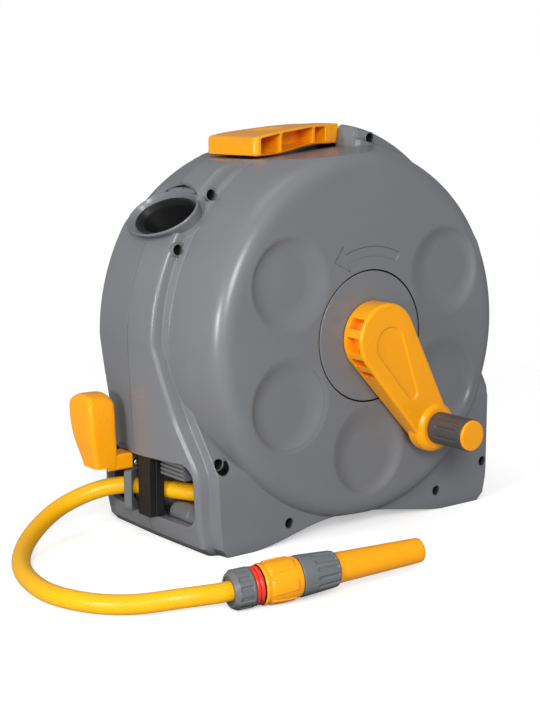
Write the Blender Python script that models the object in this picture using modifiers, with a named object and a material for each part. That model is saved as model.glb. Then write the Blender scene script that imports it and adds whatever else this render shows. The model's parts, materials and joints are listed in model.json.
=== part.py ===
"""Enclosed garden hose reel: a drum on an axle in a two-part casing, with crank, guide and handle."""
import math

import bmesh
import bpy
import numpy as np
from mathutils import Matrix, Vector

# Sizes in metres. Seen from the crank side, X runs right, Y runs back and Z runs up. The axle
# crosses x = 0 and the casing's halves meet at y = 0. A depth is a distance from that plane.

FIT = 0.0003            # gap between pieces that touch
WALL = 0.003            # moulded wall
AXLE_HEIGHT = 0.200

# Casing drum: the shoulder's points are (inset from the radius, setback from the face)
CASE_RADIUS = 0.197
CASE_DEPTH = 0.113
SHOULDER = ((0.0265, 0.0), (0.0225, 0.0009), (0.0170, 0.0042), (0.0120, 0.0115),
            (0.0088, 0.024), (0.0045, 0.050), (0.0, 0.090))
CASE_STEPS = 40
FAR = 2 * (AXLE_HEIGHT + CASE_RADIUS)   # past every solid, for cutters


def on_rim(degrees, rise):
    """Place (x, z) at an angle round the axle, risen from the casing's radius."""
    angle, reach = math.radians(degrees), CASE_RADIUS + rise
    return reach * math.cos(angle), AXLE_HEIGHT + reach * math.sin(angle)


HUB_STEPS = 36
DRUM_STEPS = 28

# The top is flattened under the carry handle
FLAT_HEIGHT = CASE_RADIUS - 0.0168    # above the axle
FLAT_SLOPE = 0.0794     # rise per metre to the right

# Foot and raised band. A row is (height, drop of seam, drop of crest, crest depth, drop of
# groove, groove depth); drops are taken from the band's radius, and above the axle the last
# row is carried round.
BAND_RISE = 0.015
BASE_DEPTH = CASE_DEPTH - 0.014
FLANK_LEFT = ((0.0, 0.034, 0.036, 0.084, 0.047, BASE_DEPTH),
              (0.008, 0.026, 0.028, 0.084, 0.041, BASE_DEPTH),
              (0.028, 0.0196, 0.024, 0.084, 0.039, BASE_DEPTH),
              (0.080, 0.008, 0.022, 0.083, 0.037, 0.098),
              (0.092, 0.006, 0.0205, 0.078, 0.0365, 0.090),
              (0.128, 0.0035, 0.015, 0.058, 0.032, 0.070),
              (0.171, 0.0015, 0.008, 0.045, 0.0245, 0.055),
              (AXLE_HEIGHT, 0.0, 0.004, 0.037, 0.017, 0.046))
FLANK_RIGHT = ((0.0, 0.028, 0.031, 0.084, 0.042, BASE_DEPTH),
               (0.008, 0.018, 0.021, 0.084, 0.034, BASE_DEPTH),
               (0.028, 0.012, 0.0165, 0.084, 0.031, BASE_DEPTH),
               (0.120, 0.002, 0.0165, 0.084, 0.031, BASE_DEPTH),
               (0.130, 0.0015, 0.0195, 0.081, 0.035, 0.094),
               (0.152, 0.001, 0.012, 0.064, 0.031, 0.078),
               (0.175, 0.001, 0.008, 0.047, 0.025, 0.059),
               (AXLE_HEIGHT, 0.0, 0.004, 0.037, 0.017, 0.046))
REAR_BAND = 0.060       # least depth of the crest in the rear half
FLANK_LEFT_REAR, FLANK_RIGHT_REAR = (
    [(*row[:3], max(row[3], REAR_BAND), row[4], max(row[5], REAR_BAND + 0.009)) for row in rows]
    for rows in (FLANK_LEFT, FLANK_RIGHT))
CORNER_BULGE = 0.10     # of the chord from crest to groove
BAND_STEP = math.radians(9)
RIGHT_BAND_END = math.radians(79)    # above the horizontal
# How the left band fades: degrees above the horizontal, share of its rise, share of its depth
LEFT_FADE = ((13, 1, 1), (26, 1, 1), (39, 1, 1), (52, 1, 1), (57, 0.75, 1), (62, 0, 1))
LEFT_FADE_REAR = ((13, 1, 1), (26, 1, 1), (36, 1, 0.88), (42, 1, 0.75), (48, 0.8, 0.63),
                  (53, 0.5, 0.6), (60, 0, 0.6))
FLANK_OVERLAP = 0.010   # the flanks run past the middle and merge
SEAM_OVERLAP = 0.002    # solids run past the seam until it is cut

# Foot: an arch between two hollow feet
ARCH_LEFT = -0.121
ARCH_RIGHT = 0.118
ARCH_HEIGHT = 0.014
ARCH_CORNER = 0.010
FOOT_HOLLOW = 0.160     # reach of the hollow in each foot

# Hose mouth in the left flank
MOUTH_HALF = 0.0785
MOUTH_BOTTOM = 0.027
MOUTH_TOP = 0.089
MOUTH_CORNER = 0.016
MOUTH_LIP = 0.004
MOUTH_FACE = 0.0085 - CASE_RADIUS    # x range of the lip's sleeve
MOUTH_INNER = MOUTH_FACE + 0.008

# Nozzle pocket at the upper left: an oval across the seam
POCKET_X, POCKET_Z = on_rim(144.24, 0.01177)
POCKET_TILT = math.radians(130)      # of its axis, from +X towards +Z
# (depth, half width along Y, half width across, shift across) of the pocket, rim to floor
POCKET_STATIONS = ((0.0, 0.0468, 0.029, 0.0), (0.010, 0.042, 0.022, 0.0025),
                   (0.056, 0.037, 0.018, 0.003))
POCKET_RIM = 0.0032
POCKET_FLARE_WIDE = 0.009
POCKET_FLARE_TALL = 0.012
POCKET_BOSS = 0.034                  # height of the boss
POCKET_SETBACK = 0.004               # of the cup's rim below the lip
CUP_WALL = 0.002

# Front face: five dimples of a six-fold ring, turning arrow, hub opening
DIMPLE_CIRCLE = 0.116
DIMPLE_RADIUS = 0.0457
DIMPLE_FLOOR = 0.033
DIMPLE_SHIFT = 0.007
DIMPLE_DEEP = 0.005
DIMPLE_ANGLES = (30, 150, 210, 270, 330)
ARROW_RADIUS = 0.084
ARROW_WIDTH = 0.010
ARROW_HEAD = 0.028
ARROW_DEEP = 0.001
ARROW_FROM, ARROW_TO, ARROW_TIP = (math.radians(a) for a in (65, 112, 122))
HUB_RADIUS = 0.065
HUB_GAP = 0.0013
COLLAR_LENGTH = 0.011

# The carry handle turns on one of the screws that hold the casing's halves together
PIVOT_X, PIVOT_Z = on_rim(72.604, 0.00368)

# Those screws: (x, z, depth that their bosses reach)
CASE_SCREWS = ((-0.0906, 0.0209, BASE_DEPTH - 0.0015), (0.1085, 0.0209, BASE_DEPTH - 0.0015),
               (CASE_RADIUS - 0.0196, 0.0427, BASE_DEPTH - 0.0015),
               (0.029 - CASE_RADIUS, 0.090, BASE_DEPTH - 0.0115), (*on_rim(153.24, 0.00402), 0.041),
               (*on_rim(135.0, 0.0022), 0.041), (PIVOT_X, PIVOT_Z, 0.041))
SCREW_BORE = 0.00525
SCREW_BOSS = 0.0066
SCREW_HEAD = 0.0048
SCREW_HEAD_LENGTH = 0.003
SCREW_SHANK = 0.0019
SCREW_LENGTH = 0.038
SCREW_SEAT = 0.022      # depth at which the head sits

# Hose and winding
HOSE_DIAMETER = 0.0174
LOOP_GAP = 0.00045
LOOPS = 10
LAYERS = 4
BARREL_RADIUS = 0.070
FLANGE_THICK = 0.0025
FLANGE_RADIUS = 0.151
AXLE_RADIUS = 0.012
AXLE_BORE = 0.008
AXLE_TAIL = CASE_DEPTH - 0.0165      # depth that the axle reaches at the back
AXLE_FRONT = 0.060
ELBOW_GAP = 0.001
HUB_TUBE = 0.004
HUB_TUBE_LENGTH = 0.030

# Hub disc and its screws
HUB_PLATE = 0.003
HUB_SKIRT_WALL = 0.005
HUB_SKIRT_SETBACK = 0.0035
HUB_COLUMN = 0.016
HUB_SCREW_CIRCLE = 0.040
HUB_SCREW_BOSS = 0.006
HUB_SCREW_SHANK = 0.0017
HUB_SCREW_HEAD = 0.004
HUB_SCREW_HEAD_LENGTH = 0.002
HUB_SCREW_REACH = 0.014

# Crank
CRANK_HEAD = 0.0355
CRANK_END = 0.026
CRANK_DEPTH = CASE_DEPTH + 0.027     # of its outer face
CRANK_END_THICK = 0.018
GRIP_X = 0.0664
GRIP_Z = 0.1035
CRANK_EDGE = 0.002
CRANK_RECESS = 0.0015
CRANK_POCKET_DEEP = 0.010
# Pockets in its side: degrees round the head, distance along the arm, width
CRANK_POCKETS = ((152, 0, 0.0118), (188, 0, 0.0165), (208, 0.0075, 0.0105), (208, 0.0235, 0.0075))
CRANK_BOSS_RISE = 0.0035
CRANK_BOSS_TOP = 0.0185
SPIGOT_RADIUS = 0.011
SPIGOT_LENGTH = 0.012
CRANK_SCREW_SHANK = 0.003
CRANK_SCREW_HEAD = 0.006
CRANK_SCREW_HEAD_LENGTH = 0.004
GRIP_RADIUS = 0.0162
GRIP_LENGTH = 0.045
SPINDLE_RADIUS = 0.005
SPINDLE_ROOT = 0.013
SPINDLE_CAP = 0.0153
SPINDLE_CAP_LENGTH = 0.003

# Carry handle, measured from its pivot: stations are (x, half width, underside, top)
HANDLE_ROWS = ((-0.1485, 0.0385, -0.0150, 0.0008), (-0.1455, 0.0410, -0.0160, 0.0030),
               (-0.130, 0.0405, -0.0155, 0.0060), (-0.112, 0.0365, -0.0143, 0.0085),
               (-0.082, 0.0295, -0.0089, 0.0121), (-0.060, 0.0235, -0.0060, 0.0141),
               (-0.042, 0.0190, -0.0059, 0.0145), (-0.033, 0.0175, -0.0059, 0.0148))
HANDLE_STATIONS = [(PIVOT_X + x, half, PIVOT_Z + low, PIVOT_Z + high) for x, half, low, high in HANDLE_ROWS]
HANDLE_SKIN = 0.0025
HANDLE_WEB = 0.003
HANDLE_POCKETS = ((-0.141, -0.1145), (-0.111, -0.0615), (-0.0585, -0.0415))
HANDLE_PAD = (-0.112, 0.026, 0.0016)     # x, radius and depth of the thumb hollow
HANDLE_END = PIVOT_X - 0.0205    # of its full height; a low neck runs on to the hinge
HANDLE_TOP = PIVOT_Z + 0.015     # at that end
KNUCKLE_RADIUS = 0.0045
KNUCKLE_HALF = 0.014
SLOT_GAP = 0.001
SLOT_START = PIVOT_X - 0.038
SLOT_END = PIVOT_X + 0.0065
SLOT_FLOOR = PIVOT_Z - 0.0115
SLOT_LINING = PIVOT_X - 0.0135       # where its lining starts
SLOT_BLOCK = 0.0045      # height of the slot's lining above the pivot

# Hose guide at the mouth
GUIDE_X = MOUTH_FACE - 0.0015
GUIDE_Y = 0.022
HOSE_HEIGHT = 0.050
GUIDE_HEADING = math.radians(117)        # of the hose through the eye, from +X towards +Y
EYE_RADIUS = 0.014
EYE_HALF = 0.018
EYE_THICK = 0.009
EYE_TOP = 0.072
GUIDE_PIN = 0.0045
GUIDE_PIN_SEAT = 0.003
GUIDE_BLOCK = 0.005     # height of the block that the pin turns in
GUIDE_BLOCK_LEFT = GUIDE_X - 0.014
BOSS_LEFT = GUIDE_X - 0.0125
BOSS_RIGHT = GUIDE_X + 0.0065
BOSS_NEAR = 0.012
BOSS_FAR = 0.032
POST_LEFT, POST_RIGHT = GUIDE_X - 0.010, GUIDE_X + 0.0065
POST_NEAR, POST_FAR = -0.018, 0.003
POST_CHAMFER = 0.0075   # by which it narrows beside the hose
GUIDE_SCREW_X = GUIDE_X - 0.0065
GUIDE_SCREW_Z = 0.077
LEVER_FOOT = (GUIDE_X - 0.032, 0.0085, 0.031)     # left end, near and far side
LEVER_FOOT_BOTTOM = 0.0725
LEVER_ROWS = ((0.070, -0.0475, -0.0290, 0.008, 0.028), (0.080, -0.0500, -0.0290, 0.008, 0.032),
              (0.088, -0.0520, -0.0285, 0.008, 0.037), (0.100, -0.0550, -0.0290, 0.008, 0.0435),
              (0.112, -0.0570, -0.0300, 0.0075, 0.0475), (0.124, -0.0590, -0.0300, 0.0075, 0.0505),
              (0.137, -0.0600, -0.0300, 0.009, 0.0505), (0.145, -0.0580, -0.0320, 0.014, 0.046),
              (0.149, -0.0520, -0.0370, 0.022, 0.038))
LEVER_STATIONS = [(z, GUIDE_X + left, GUIDE_X + right, near, far)
                  for z, left, right, near, far in LEVER_ROWS]
LEVER_HOLLOW = 0.0025   # wall round the hollow in its underside
LEVER_HOLLOW_TOP = 0.084
RAIL_X = GUIDE_X + 0.022
RAIL_NEAR, RAIL_FAR = -0.074, -0.020
SHELF_LEFT, SHELF_RIGHT = GUIDE_X, GUIDE_X + 0.0145
SHELF_BOTTOM = 0.071
SHELF_NEAR, SHELF_FAR = -0.0615, -0.022

# Water inlet in the back
INLET_RECESS = 0.034
INLET_FLOOR = CASE_DEPTH - 0.016     # depth of the recess's floor
BUSH_RADIUS = 0.016
BUSH_LENGTH = 0.0045
INLET_FLANGE = 0.022
INLET_FLANGE_THICK = 0.003
INLET_SEAL_THICK = 0.0016
INLET_TAIL = 0.013
INLET_TAIL_END = CASE_DEPTH - 0.0005
INLET_BORE = 0.005
INLET_ROOT = INLET_FLOOR - 0.017
NUT_FLATS = 0.0175
NUT_START = INLET_FLOOR + 0.0045
NUT_END = NUT_START + 0.0075

# Hose end: distances run along the fittings' axis from the hose nut's back
END_PLACE = (-0.2504, -0.2176, 0.0181)
END_HEADING = math.radians(-12)
END_PITCH = math.radians(3.2)       # it lies on the nut and on the connector's belly
NUT_RADIUS = 0.0178
NUT_LENGTH = 0.0189
NUT_HOSE = 0.009        # length of hose inside the nut
TAIL_RADIUS = 0.012
TAIL_BORE = 0.0045
RING_RADIUS = 0.0172
RING_LENGTH = 0.0084
BODY_RADIUS = 0.020
BODY_LENGTH = 0.036
BODY_SKIRT = 0.005
TAIL_END = 0.046
SEAL_GROOVE = 0.0016
SEAL_HALF = 0.0014
COLLAR_ROOT, COLLAR_TIP = 0.0186, 0.0162
COLLAR_SIZE = 0.0373
BARREL_ROOT, BARREL_TIP = 0.0138, 0.0112
BARREL_LENGTH = 0.088
BARREL_BORE = 0.0083
BARREL_MOUTH = 0.0068
STEM_NECK = 0.008
STEM_NEEDLE = 0.004
STEM_NECK_LENGTH = 0.030
STEM_NEEDLE_LENGTH = 0.066

# Route of the hose, from under the winding to the guide's eye and on to the hose nut
RUN_ROUTE = ((-0.075, -0.0725, 0.0680), (-0.092, -0.0725, 0.0645), (-0.125, -0.0665, 0.0560),
             (-0.153, -0.0450, 0.0505), (-0.169, -0.0180, 0.0500))
FREE_ROUTE = ((-0.2130, 0.0435, 0.0470), (-0.2360, 0.0530, 0.0400), (-0.2620, 0.0540, 0.0310),
              (-0.2900, 0.0420, 0.0215), (-0.3180, 0.0175, 0.0140), (-0.3400, -0.0140, 0.0100),
              (-0.3540, -0.0480, 0.0090), (-0.3610, -0.0850, 0.0089), (-0.3600, -0.1120, 0.0089),
              (-0.3520, -0.1370, 0.0089), (-0.3380, -0.1600, 0.0092), (-0.3180, -0.1810, 0.0110),
              (-0.2900, -0.2030, 0.0160))
EYE_STRAIGHT = 0.009    # straight hose on each side of the eye's middle
NUT_STRAIGHT = 0.008    # straight hose before the nut
RUN_POINTS = 9
FREE_POINTS = 26

# Worked out from the sizes above
BAND_RADIUS = CASE_RADIUS + BAND_RISE
HOSE_RADIUS = HOSE_DIAMETER / 2
WINDING_RADIUS = BARREL_RADIUS + FIT + LAYERS * HOSE_DIAMETER
WINDING_HALF = LOOPS * (HOSE_DIAMETER + LOOP_GAP) / 2
FLANGE_INNER = WINDING_HALF + FIT
FLANGE_OUTER = FLANGE_INNER + FLANGE_THICK
FACE_INNER = CASE_DEPTH - WALL
FLOOR = ARCH_HEIGHT + WALL
GRIP_START = CRANK_DEPTH + CRANK_BOSS_RISE + FIT
GRIP_END = GRIP_START + GRIP_LENGTH

AXLE = Vector((0, 0, AXLE_HEIGHT))
TO_FRONT = Matrix.Translation(AXLE) @ Matrix.Rotation(math.pi / 2, 4, "X")
TO_BACK = Matrix.Translation(AXLE) @ Matrix.Rotation(-math.pi / 2, 4, "X")
TO_END = (Matrix.Translation(END_PLACE) @ Matrix.Rotation(END_HEADING, 4, "Z")
          @ Matrix.Rotation(math.pi / 2 - END_PITCH, 4, "Y"))
END_AXIS = TO_END.to_3x3() @ Vector((0, 0, 1))

for old in list(bpy.data.objects):
    bpy.data.objects.remove(old)
scene = bpy.context.scene
parts = bpy.data.collections.new("hose_reel")
cutters = bpy.data.collections.new("cutters")
scene.collection.children.link(parts)
scene.collection.children.link(cutters)
reel = bpy.data.objects.new("reel", None)
parts.objects.link(reel)


def finish(name, colour, roughness, metallic=0.0):
    material = bpy.data.materials.new(name)
    material.use_nodes = True
    shader = material.node_tree.nodes["Principled BSDF"]
    shader.inputs["Base Color"].default_value = (*colour, 1)
    shader.inputs["Roughness"].default_value = roughness
    shader.inputs["Metallic"].default_value = metallic
    return material


FINISHES = {
    "casing": finish("casing", (0.18, 0.19, 0.20), 0.45),
    "accent": finish("accent", (0.95, 0.38, 0.02), 0.35),
    "dark": finish("dark", (0.035, 0.035, 0.037), 0.45),
    "grip": finish("grip", (0.07, 0.065, 0.07), 0.55),
    "hose": finish("hose", (0.90, 0.45, 0.015), 0.30),
    "ring": finish("ring", (0.80, 0.04, 0.02), 0.35),
    "fitting": finish("fitting", (0.14, 0.15, 0.155), 0.45),
    "steel": finish("steel", (0.60, 0.60, 0.60), 0.30, 1.0),
    "rubber": finish("rubber", (0.02, 0.02, 0.02), 0.80),
}


def add(name, mesh, material=None, parent=None):
    """A sub-part, or a cutter where no material is given."""
    obj = bpy.data.objects.new(name, mesh)
    if material is None:
        cutters.objects.link(obj)
        obj.hide_render = True
        obj.display_type = "WIRE"
    else:
        parts.objects.link(obj)
        mesh.materials.append(FINISHES[material])
    place_under(obj, parent or reel)
    return obj


def place_under(obj, parent):
    """Parent without moving: a parent empty is only ever shifted, never turned."""
    obj.parent = parent
    obj.location -= parent.location if parent is not reel else Vector()


def pivot(name, location, parent=None):
    """Empty on a joint's axis, which carries the pieces that turn or slide with it."""
    empty = bpy.data.objects.new(name, None)
    parts.objects.link(empty)
    empty.location = location
    empty.parent = parent or reel
    if parent is not None:
        empty.location -= parent.location
    return empty


def to_mesh(name, bm, smooth=True):
    bmesh.ops.recalc_face_normals(bm, faces=bm.faces)
    mesh = bpy.data.meshes.new(name)
    bm.to_mesh(mesh)
    bm.free()
    if smooth:
        mesh.shade_smooth()
        mesh.set_sharp_from_angle(angle=math.radians(35))
    return mesh


def box(name, low, high, material=None, parent=None, bevel=0.0):
    bm = bmesh.new()
    low, high = Vector(low), Vector(high)
    size = high - low
    matrix = Matrix.Translation((low + high) / 2) @ Matrix.Diagonal((*size, 1))
    bmesh.ops.create_cube(bm, size=1, matrix=matrix)
    if bevel:
        bmesh.ops.bevel(bm, geom=bm.edges[:], offset=bevel, segments=2, affect="EDGES", profile=0.5)
    return add(name, to_mesh(name, bm), material, parent)


def rod(name, radius, start, end, material=None, parent=None, steps=24, tip=None):
    """Cylinder or cone from one point to another."""
    bm = bmesh.new()
    start, end = Vector(start), Vector(end)
    turn = Vector((0, 0, 1)).rotation_difference(end - start).to_matrix().to_4x4()
    matrix = Matrix.Translation((start + end) / 2) @ turn
    bmesh.ops.create_cone(bm, cap_ends=True, segments=steps, radius1=radius,
                          radius2=radius if tip is None else tip, depth=(end - start).length,
                          matrix=matrix)
    return add(name, to_mesh(name, bm), material, parent)


def turned(name, profile, matrix, material=None, parent=None, steps=32):
    """Screw of a profile (radius, height) that runs down the outside and up the inside."""
    mesh = bpy.data.meshes.new(name)
    count = len(profile)
    closed = profile[0][0] > 0 and profile[-1][0] > 0
    edges = [(i, (i + 1) % count) for i in range(count if closed else count - 1)]
    mesh.from_pydata([(radius, 0, height) for radius, height in profile], edges, [])
    mesh.materials.clear()
    obj = add(name, mesh, material, parent)
    shift = obj.location.copy()
    obj.matrix_basis = Matrix.Translation(shift) @ matrix
    screw = obj.modifiers.new("Turn", "SCREW")
    screw.steps = screw.render_steps = steps
    screw.use_merge_vertices = True
    screw.merge_threshold = 0.00001
    screw.use_smooth_shade = True
    return obj


def plate(name, outline, place, thickness, material=None, parent=None):
    """Flat outline (u, v), laid by place(u, v) and extruded along the vector thickness."""
    bm = bmesh.new()
    face = bm.faces.new([bm.verts.new(place(u, v)) for u, v in outline])
    extruded = bmesh.ops.extrude_face_region(bm, geom=[face])
    bmesh.ops.translate(bm, verts=[v for v in extruded["geom"] if isinstance(v, bmesh.types.BMVert)],
                        vec=thickness)
    return add(name, to_mesh(name, bm), material, parent)


def loft(name, rings, material=None, parent=None):
    """Solid carried through closed rings of equally many points."""
    bm = bmesh.new()
    rows = [[bm.verts.new(point) for point in ring] for ring in rings]
    for row, following in zip(rows, rows[1:]):
        for i in range(len(row)):
            j = (i + 1) % len(row)
            bm.faces.new((row[i], row[j], following[j], following[i]))
    bm.faces.new(rows[0])
    bm.faces.new(rows[-1])
    bmesh.ops.triangulate(bm, faces=bm.faces[:])
    return add(name, to_mesh(name, bm), material, parent)


def hull(name, circles, material=None, parent=None, steps=32):
    """Convex body round discs that face the crank side: (x, z, radius, depth)."""
    bm = bmesh.new()
    for x, z, radius, depth in circles:
        for k in range(steps):
            angle = math.tau * k / steps
            bm.verts.new((x + radius * math.cos(angle), -depth, z + radius * math.sin(angle)))
    result = bmesh.ops.convex_hull(bm, input=bm.verts[:])
    bmesh.ops.delete(bm, geom=[g for g in result["geom_interior"] if isinstance(g, bmesh.types.BMVert)],
                     context="VERTS")
    bmesh.ops.dissolve_limit(bm, angle_limit=math.radians(0.5), verts=bm.verts[:], edges=bm.edges[:])
    return add(name, to_mesh(name, bm), material, parent)


def boolean(obj, tool, operation="DIFFERENCE", solver="EXACT"):
    modifier = obj.modifiers.new(operation.title(), "BOOLEAN")
    modifier.operation = operation
    modifier.solver = solver
    modifier.object = tool
    return obj


def carve(cover, tool, operation="DIFFERENCE"):
    """Boolean on a cover, where the exact solver leaves slits between so many cuts."""
    return boolean(cover, tool, operation, "MANIFOLD")


def group(name, tools):
    """Separate solids as one cutter."""
    bm = bmesh.new()
    for tool in tools:
        start = len(bm.verts)
        bm.from_mesh(tool.data)
        bm.verts.ensure_lookup_table()
        bmesh.ops.transform(bm, matrix=tool.matrix_basis, verts=bm.verts[start:])
        bpy.data.objects.remove(tool)
    return add(name, to_mesh(name, bm))


def baked(name, source, mirror=False):
    """The finished mesh of an object as its own object, mirrored in the seam if asked."""
    bpy.context.view_layer.update()
    evaluated = source.evaluated_get(bpy.context.evaluated_depsgraph_get())
    mesh = bpy.data.meshes.new_from_object(evaluated)
    mesh.transform(source.matrix_world)
    if mirror:
        mesh.transform(Matrix.Diagonal((1, -1, 1, 1)))
        mesh.flip_normals()
    mesh.materials.clear()
    return add(name, mesh, "casing")


def shoulder_profile(inset, shoulder):
    """Drum profile (radius, depth) from the face's middle to the seam, moved in by a wall."""
    profile = [(0, CASE_DEPTH - inset)]
    profile += [(CASE_RADIUS - drop - inset, CASE_DEPTH - max(setback, inset))
                for drop, setback in shoulder]
    return profile + [(profile[-1][0], -SEAM_OVERLAP - inset), (0, -SEAM_OVERLAP - inset)]


def top_cutter(name, lowered):
    """Everything above the flattened top."""
    outline = ((-FAR, 0), (FAR, 0), (FAR, FAR), (-FAR, FAR))
    base = AXLE_HEIGHT + FLAT_HEIGHT - lowered
    return plate(name, outline, lambda u, v: Vector((u, -FAR, base + u * FLAT_SLOPE + v)),
                 Vector((0, 2 * FAR, 0)))


def side_section(reach, deep, root):
    """Seam, crest, rounded corner and groove, as (reach, depth), closed at the inner edge."""
    chord = Vector((reach[1] - reach[2], deep[1] - deep[0]))
    corner = (Vector((reach[1] + reach[2], deep[0] + deep[1])) / 2
              + CORNER_BULGE * Vector((chord.y, chord.x)))
    return ((root, -SEAM_OVERLAP), (reach[0], -SEAM_OVERLAP), (reach[0], 0), (reach[1], deep[0]),
            corner, (reach[2], deep[1]), (root, deep[1]))


def flank_ring(side, height, seam, crest, crest_depth, groove, groove_depth, inset):
    """Section of a side at one height between the ground and the axle."""
    reach = [BAND_RADIUS - drop - inset for drop in (seam, crest, groove)]
    deep = [crest_depth - inset * 0.6, groove_depth - inset]
    root = FLANK_OVERLAP * (2 * height / AXLE_HEIGHT - 1)
    return [Vector((side * r, -d, height)) for r, d in side_section(reach, deep, root)]


def band_ring(side, row, angle, rise, spread, inset):
    """Section of the raised band at an angle above the horizontal, as high and wide as told."""
    ground = CASE_RADIUS - 0.004 - inset
    _, seam_drop, crest_drop, crest_depth, groove_drop, groove_depth = row
    seam, crest = (ground + (BAND_RADIUS - drop - inset - ground) * rise
                   for drop in (seam_drop, crest_drop))
    groove = min(BAND_RADIUS - groove_drop - inset, crest)
    deep = [(crest_depth - inset * 0.6) * spread, (groove_depth - inset) * spread]
    return [Vector((side * r * math.cos(angle), -d, AXLE_HEIGHT + r * math.sin(angle)))
            for r, d in side_section((seam, crest, groove), deep, FLANK_OVERLAP)]


def flank(name, side, rows, fade=None, inset=0.0):
    """One side of the casing: flank from the ground to the axle, then the band up the drum.

    The left band fades into the drum as told and the right one ends blunt.
    """
    low = FLOOR if inset else 0.0
    columns = list(zip(*rows))
    rings = []
    for height in [low] + [row[0] for row in rows if row[0] > low]:
        values = [float(np.interp(height, columns[0], column)) for column in columns[1:]]
        rings.append(flank_ring(side, height, *values, inset))
    if fade:
        stations = [(math.radians(angle), rise, spread) for angle, rise, spread in fade]
    else:
        end = RIGHT_BAND_END - inset / BAND_RADIUS
        count = round(end / BAND_STEP)
        stations = [(end * k / count, 1, 1) for k in range(1, count)]
        stations += [(end - math.radians(4), 1, 1), (end - math.radians(1.2), 0.97, 0.9),
                     (end, 0.85, 0.62)]
    rings += [band_ring(side, rows[-1], *station, inset) for station in stations]
    return loft(name, rings)


def pocket_loft(name, levels, trim=0.0, material=None, steps=24):
    """Solid along the nozzle pocket's axis. A level is (height above the rim, extra half width,
    extra half height); the pocket's own section at that height is made smaller by the trim."""
    axis = Vector((math.cos(POCKET_TILT), 0, math.sin(POCKET_TILT)))
    across = Vector((-axis.z, 0, axis.x))
    depths, *columns = zip(*POCKET_STATIONS)
    rings = []
    for height, more_wide, more_tall in levels:
        wide, tall, shift = (float(np.interp(-height, depths, column)) for column in columns)
        wide += more_wide - trim
        tall += more_tall - trim
        centre = Vector((POCKET_X, 0, POCKET_Z)) + axis * height - across * shift
        rings.append([centre + Vector((0, wide * math.cos(angle), 0)) + across * tall * math.sin(angle)
                      for angle in (math.tau * k / steps for k in range(steps))])
    return loft(name, rings, material)


def dimples(name, extra, top, bottom, steps):
    """The five dimples, or pads of the same form behind them, as one cutter. Heights are
    measured from the face, and the sides keep the dimples' slope."""
    shapes = []
    for degrees in DIMPLE_ANGLES:
        angle = math.radians(degrees)
        out = Vector((math.cos(angle), 0, math.sin(angle)))
        rings = []
        for height in (top, bottom):
            share = -height / DIMPLE_DEEP
            radius = DIMPLE_RADIUS + (DIMPLE_FLOOR - DIMPLE_RADIUS) * share + extra
            centre = AXLE + out * (DIMPLE_CIRCLE + DIMPLE_SHIFT * share)
            rings.append([centre + Vector((radius * math.cos(a), -CASE_DEPTH - height,
                                           radius * math.sin(a)))
                          for a in (math.tau * k / steps for k in range(steps))])
        shapes.append(loft(f"{name}_{degrees}", rings))
    return group(name, shapes)


def arrow_outline():
    """Curved arrow round the axle, pointing the way that the crank winds in."""
    outer, inner = ARROW_RADIUS + ARROW_WIDTH / 2, ARROW_RADIUS - ARROW_WIDTH / 2
    sweep = [ARROW_FROM + (ARROW_TO - ARROW_FROM) * k / 8 for k in range(9)]
    polar = [(outer, a) for a in sweep]
    polar += [(ARROW_RADIUS + ARROW_HEAD / 2, ARROW_TO), (ARROW_RADIUS + ARROW_WIDTH / 2, ARROW_TIP),
              (ARROW_RADIUS - ARROW_HEAD / 2, ARROW_TO)]
    polar += [(inner, a) for a in reversed(sweep)]
    return [(r * math.cos(a), AXLE_HEIGHT + r * math.sin(a)) for r, a in polar]


def rounded_rectangle(low, high, corner, steps=4):
    """Outline with round corners, counterclockwise from the lower right."""
    points = []
    centres = ((high[0] - corner, low[1] + corner, -90), (high[0] - corner, high[1] - corner, 0),
               (low[0] + corner, high[1] - corner, 90), (low[0] + corner, low[1] + corner, 180))
    for u, v, start in centres:
        for k in range(steps + 1):
            angle = math.radians(start + 90 * k / steps)
            points.append((u + corner * math.cos(angle), v + corner * math.sin(angle)))
    return points


def smooth_points(route, count):
    """Evenly spaced points of a smooth curve through the route, whose end stretches stay straight."""
    route = np.array(route)
    fine = []
    for a, b, c, d in zip(route, route[1:], route[2:], route[3:]):
        t = np.linspace(0, 1, 24, endpoint=False)[:, None]
        fine.append(0.5 * (2 * b + (c - a) * t + (2 * a - 5 * b + 4 * c - d) * t ** 2
                           + (3 * b - a - 3 * c + d) * t ** 3))
    fine = np.vstack(fine + [route[-2:-1]])
    length = np.r_[0, np.cumsum(np.linalg.norm(np.diff(fine, axis=0), axis=1))]
    wanted = np.linspace(0, length[-1], count)
    inner = np.column_stack([np.interp(wanted, length, fine[:, k]) for k in range(3)])
    return np.vstack([route[0], inner, route[-1]])


def tube(name, points, radius, resolution, material, parent=None):
    curve = bpy.data.curves.new(name, "CURVE")
    curve.dimensions = "3D"
    curve.bevel_depth = radius
    curve.bevel_resolution = resolution
    curve.use_fill_caps = True
    curve.materials.append(FINISHES[material])
    spline = curve.splines.new("POLY")
    spline.points.add(len(points) - 1)
    spline.points.foreach_set("co", np.column_stack([points, np.ones(len(points))]).ravel())
    obj = bpy.data.objects.new(name, curve)
    parts.objects.link(obj)
    place_under(obj, parent or reel)
    return obj


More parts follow.
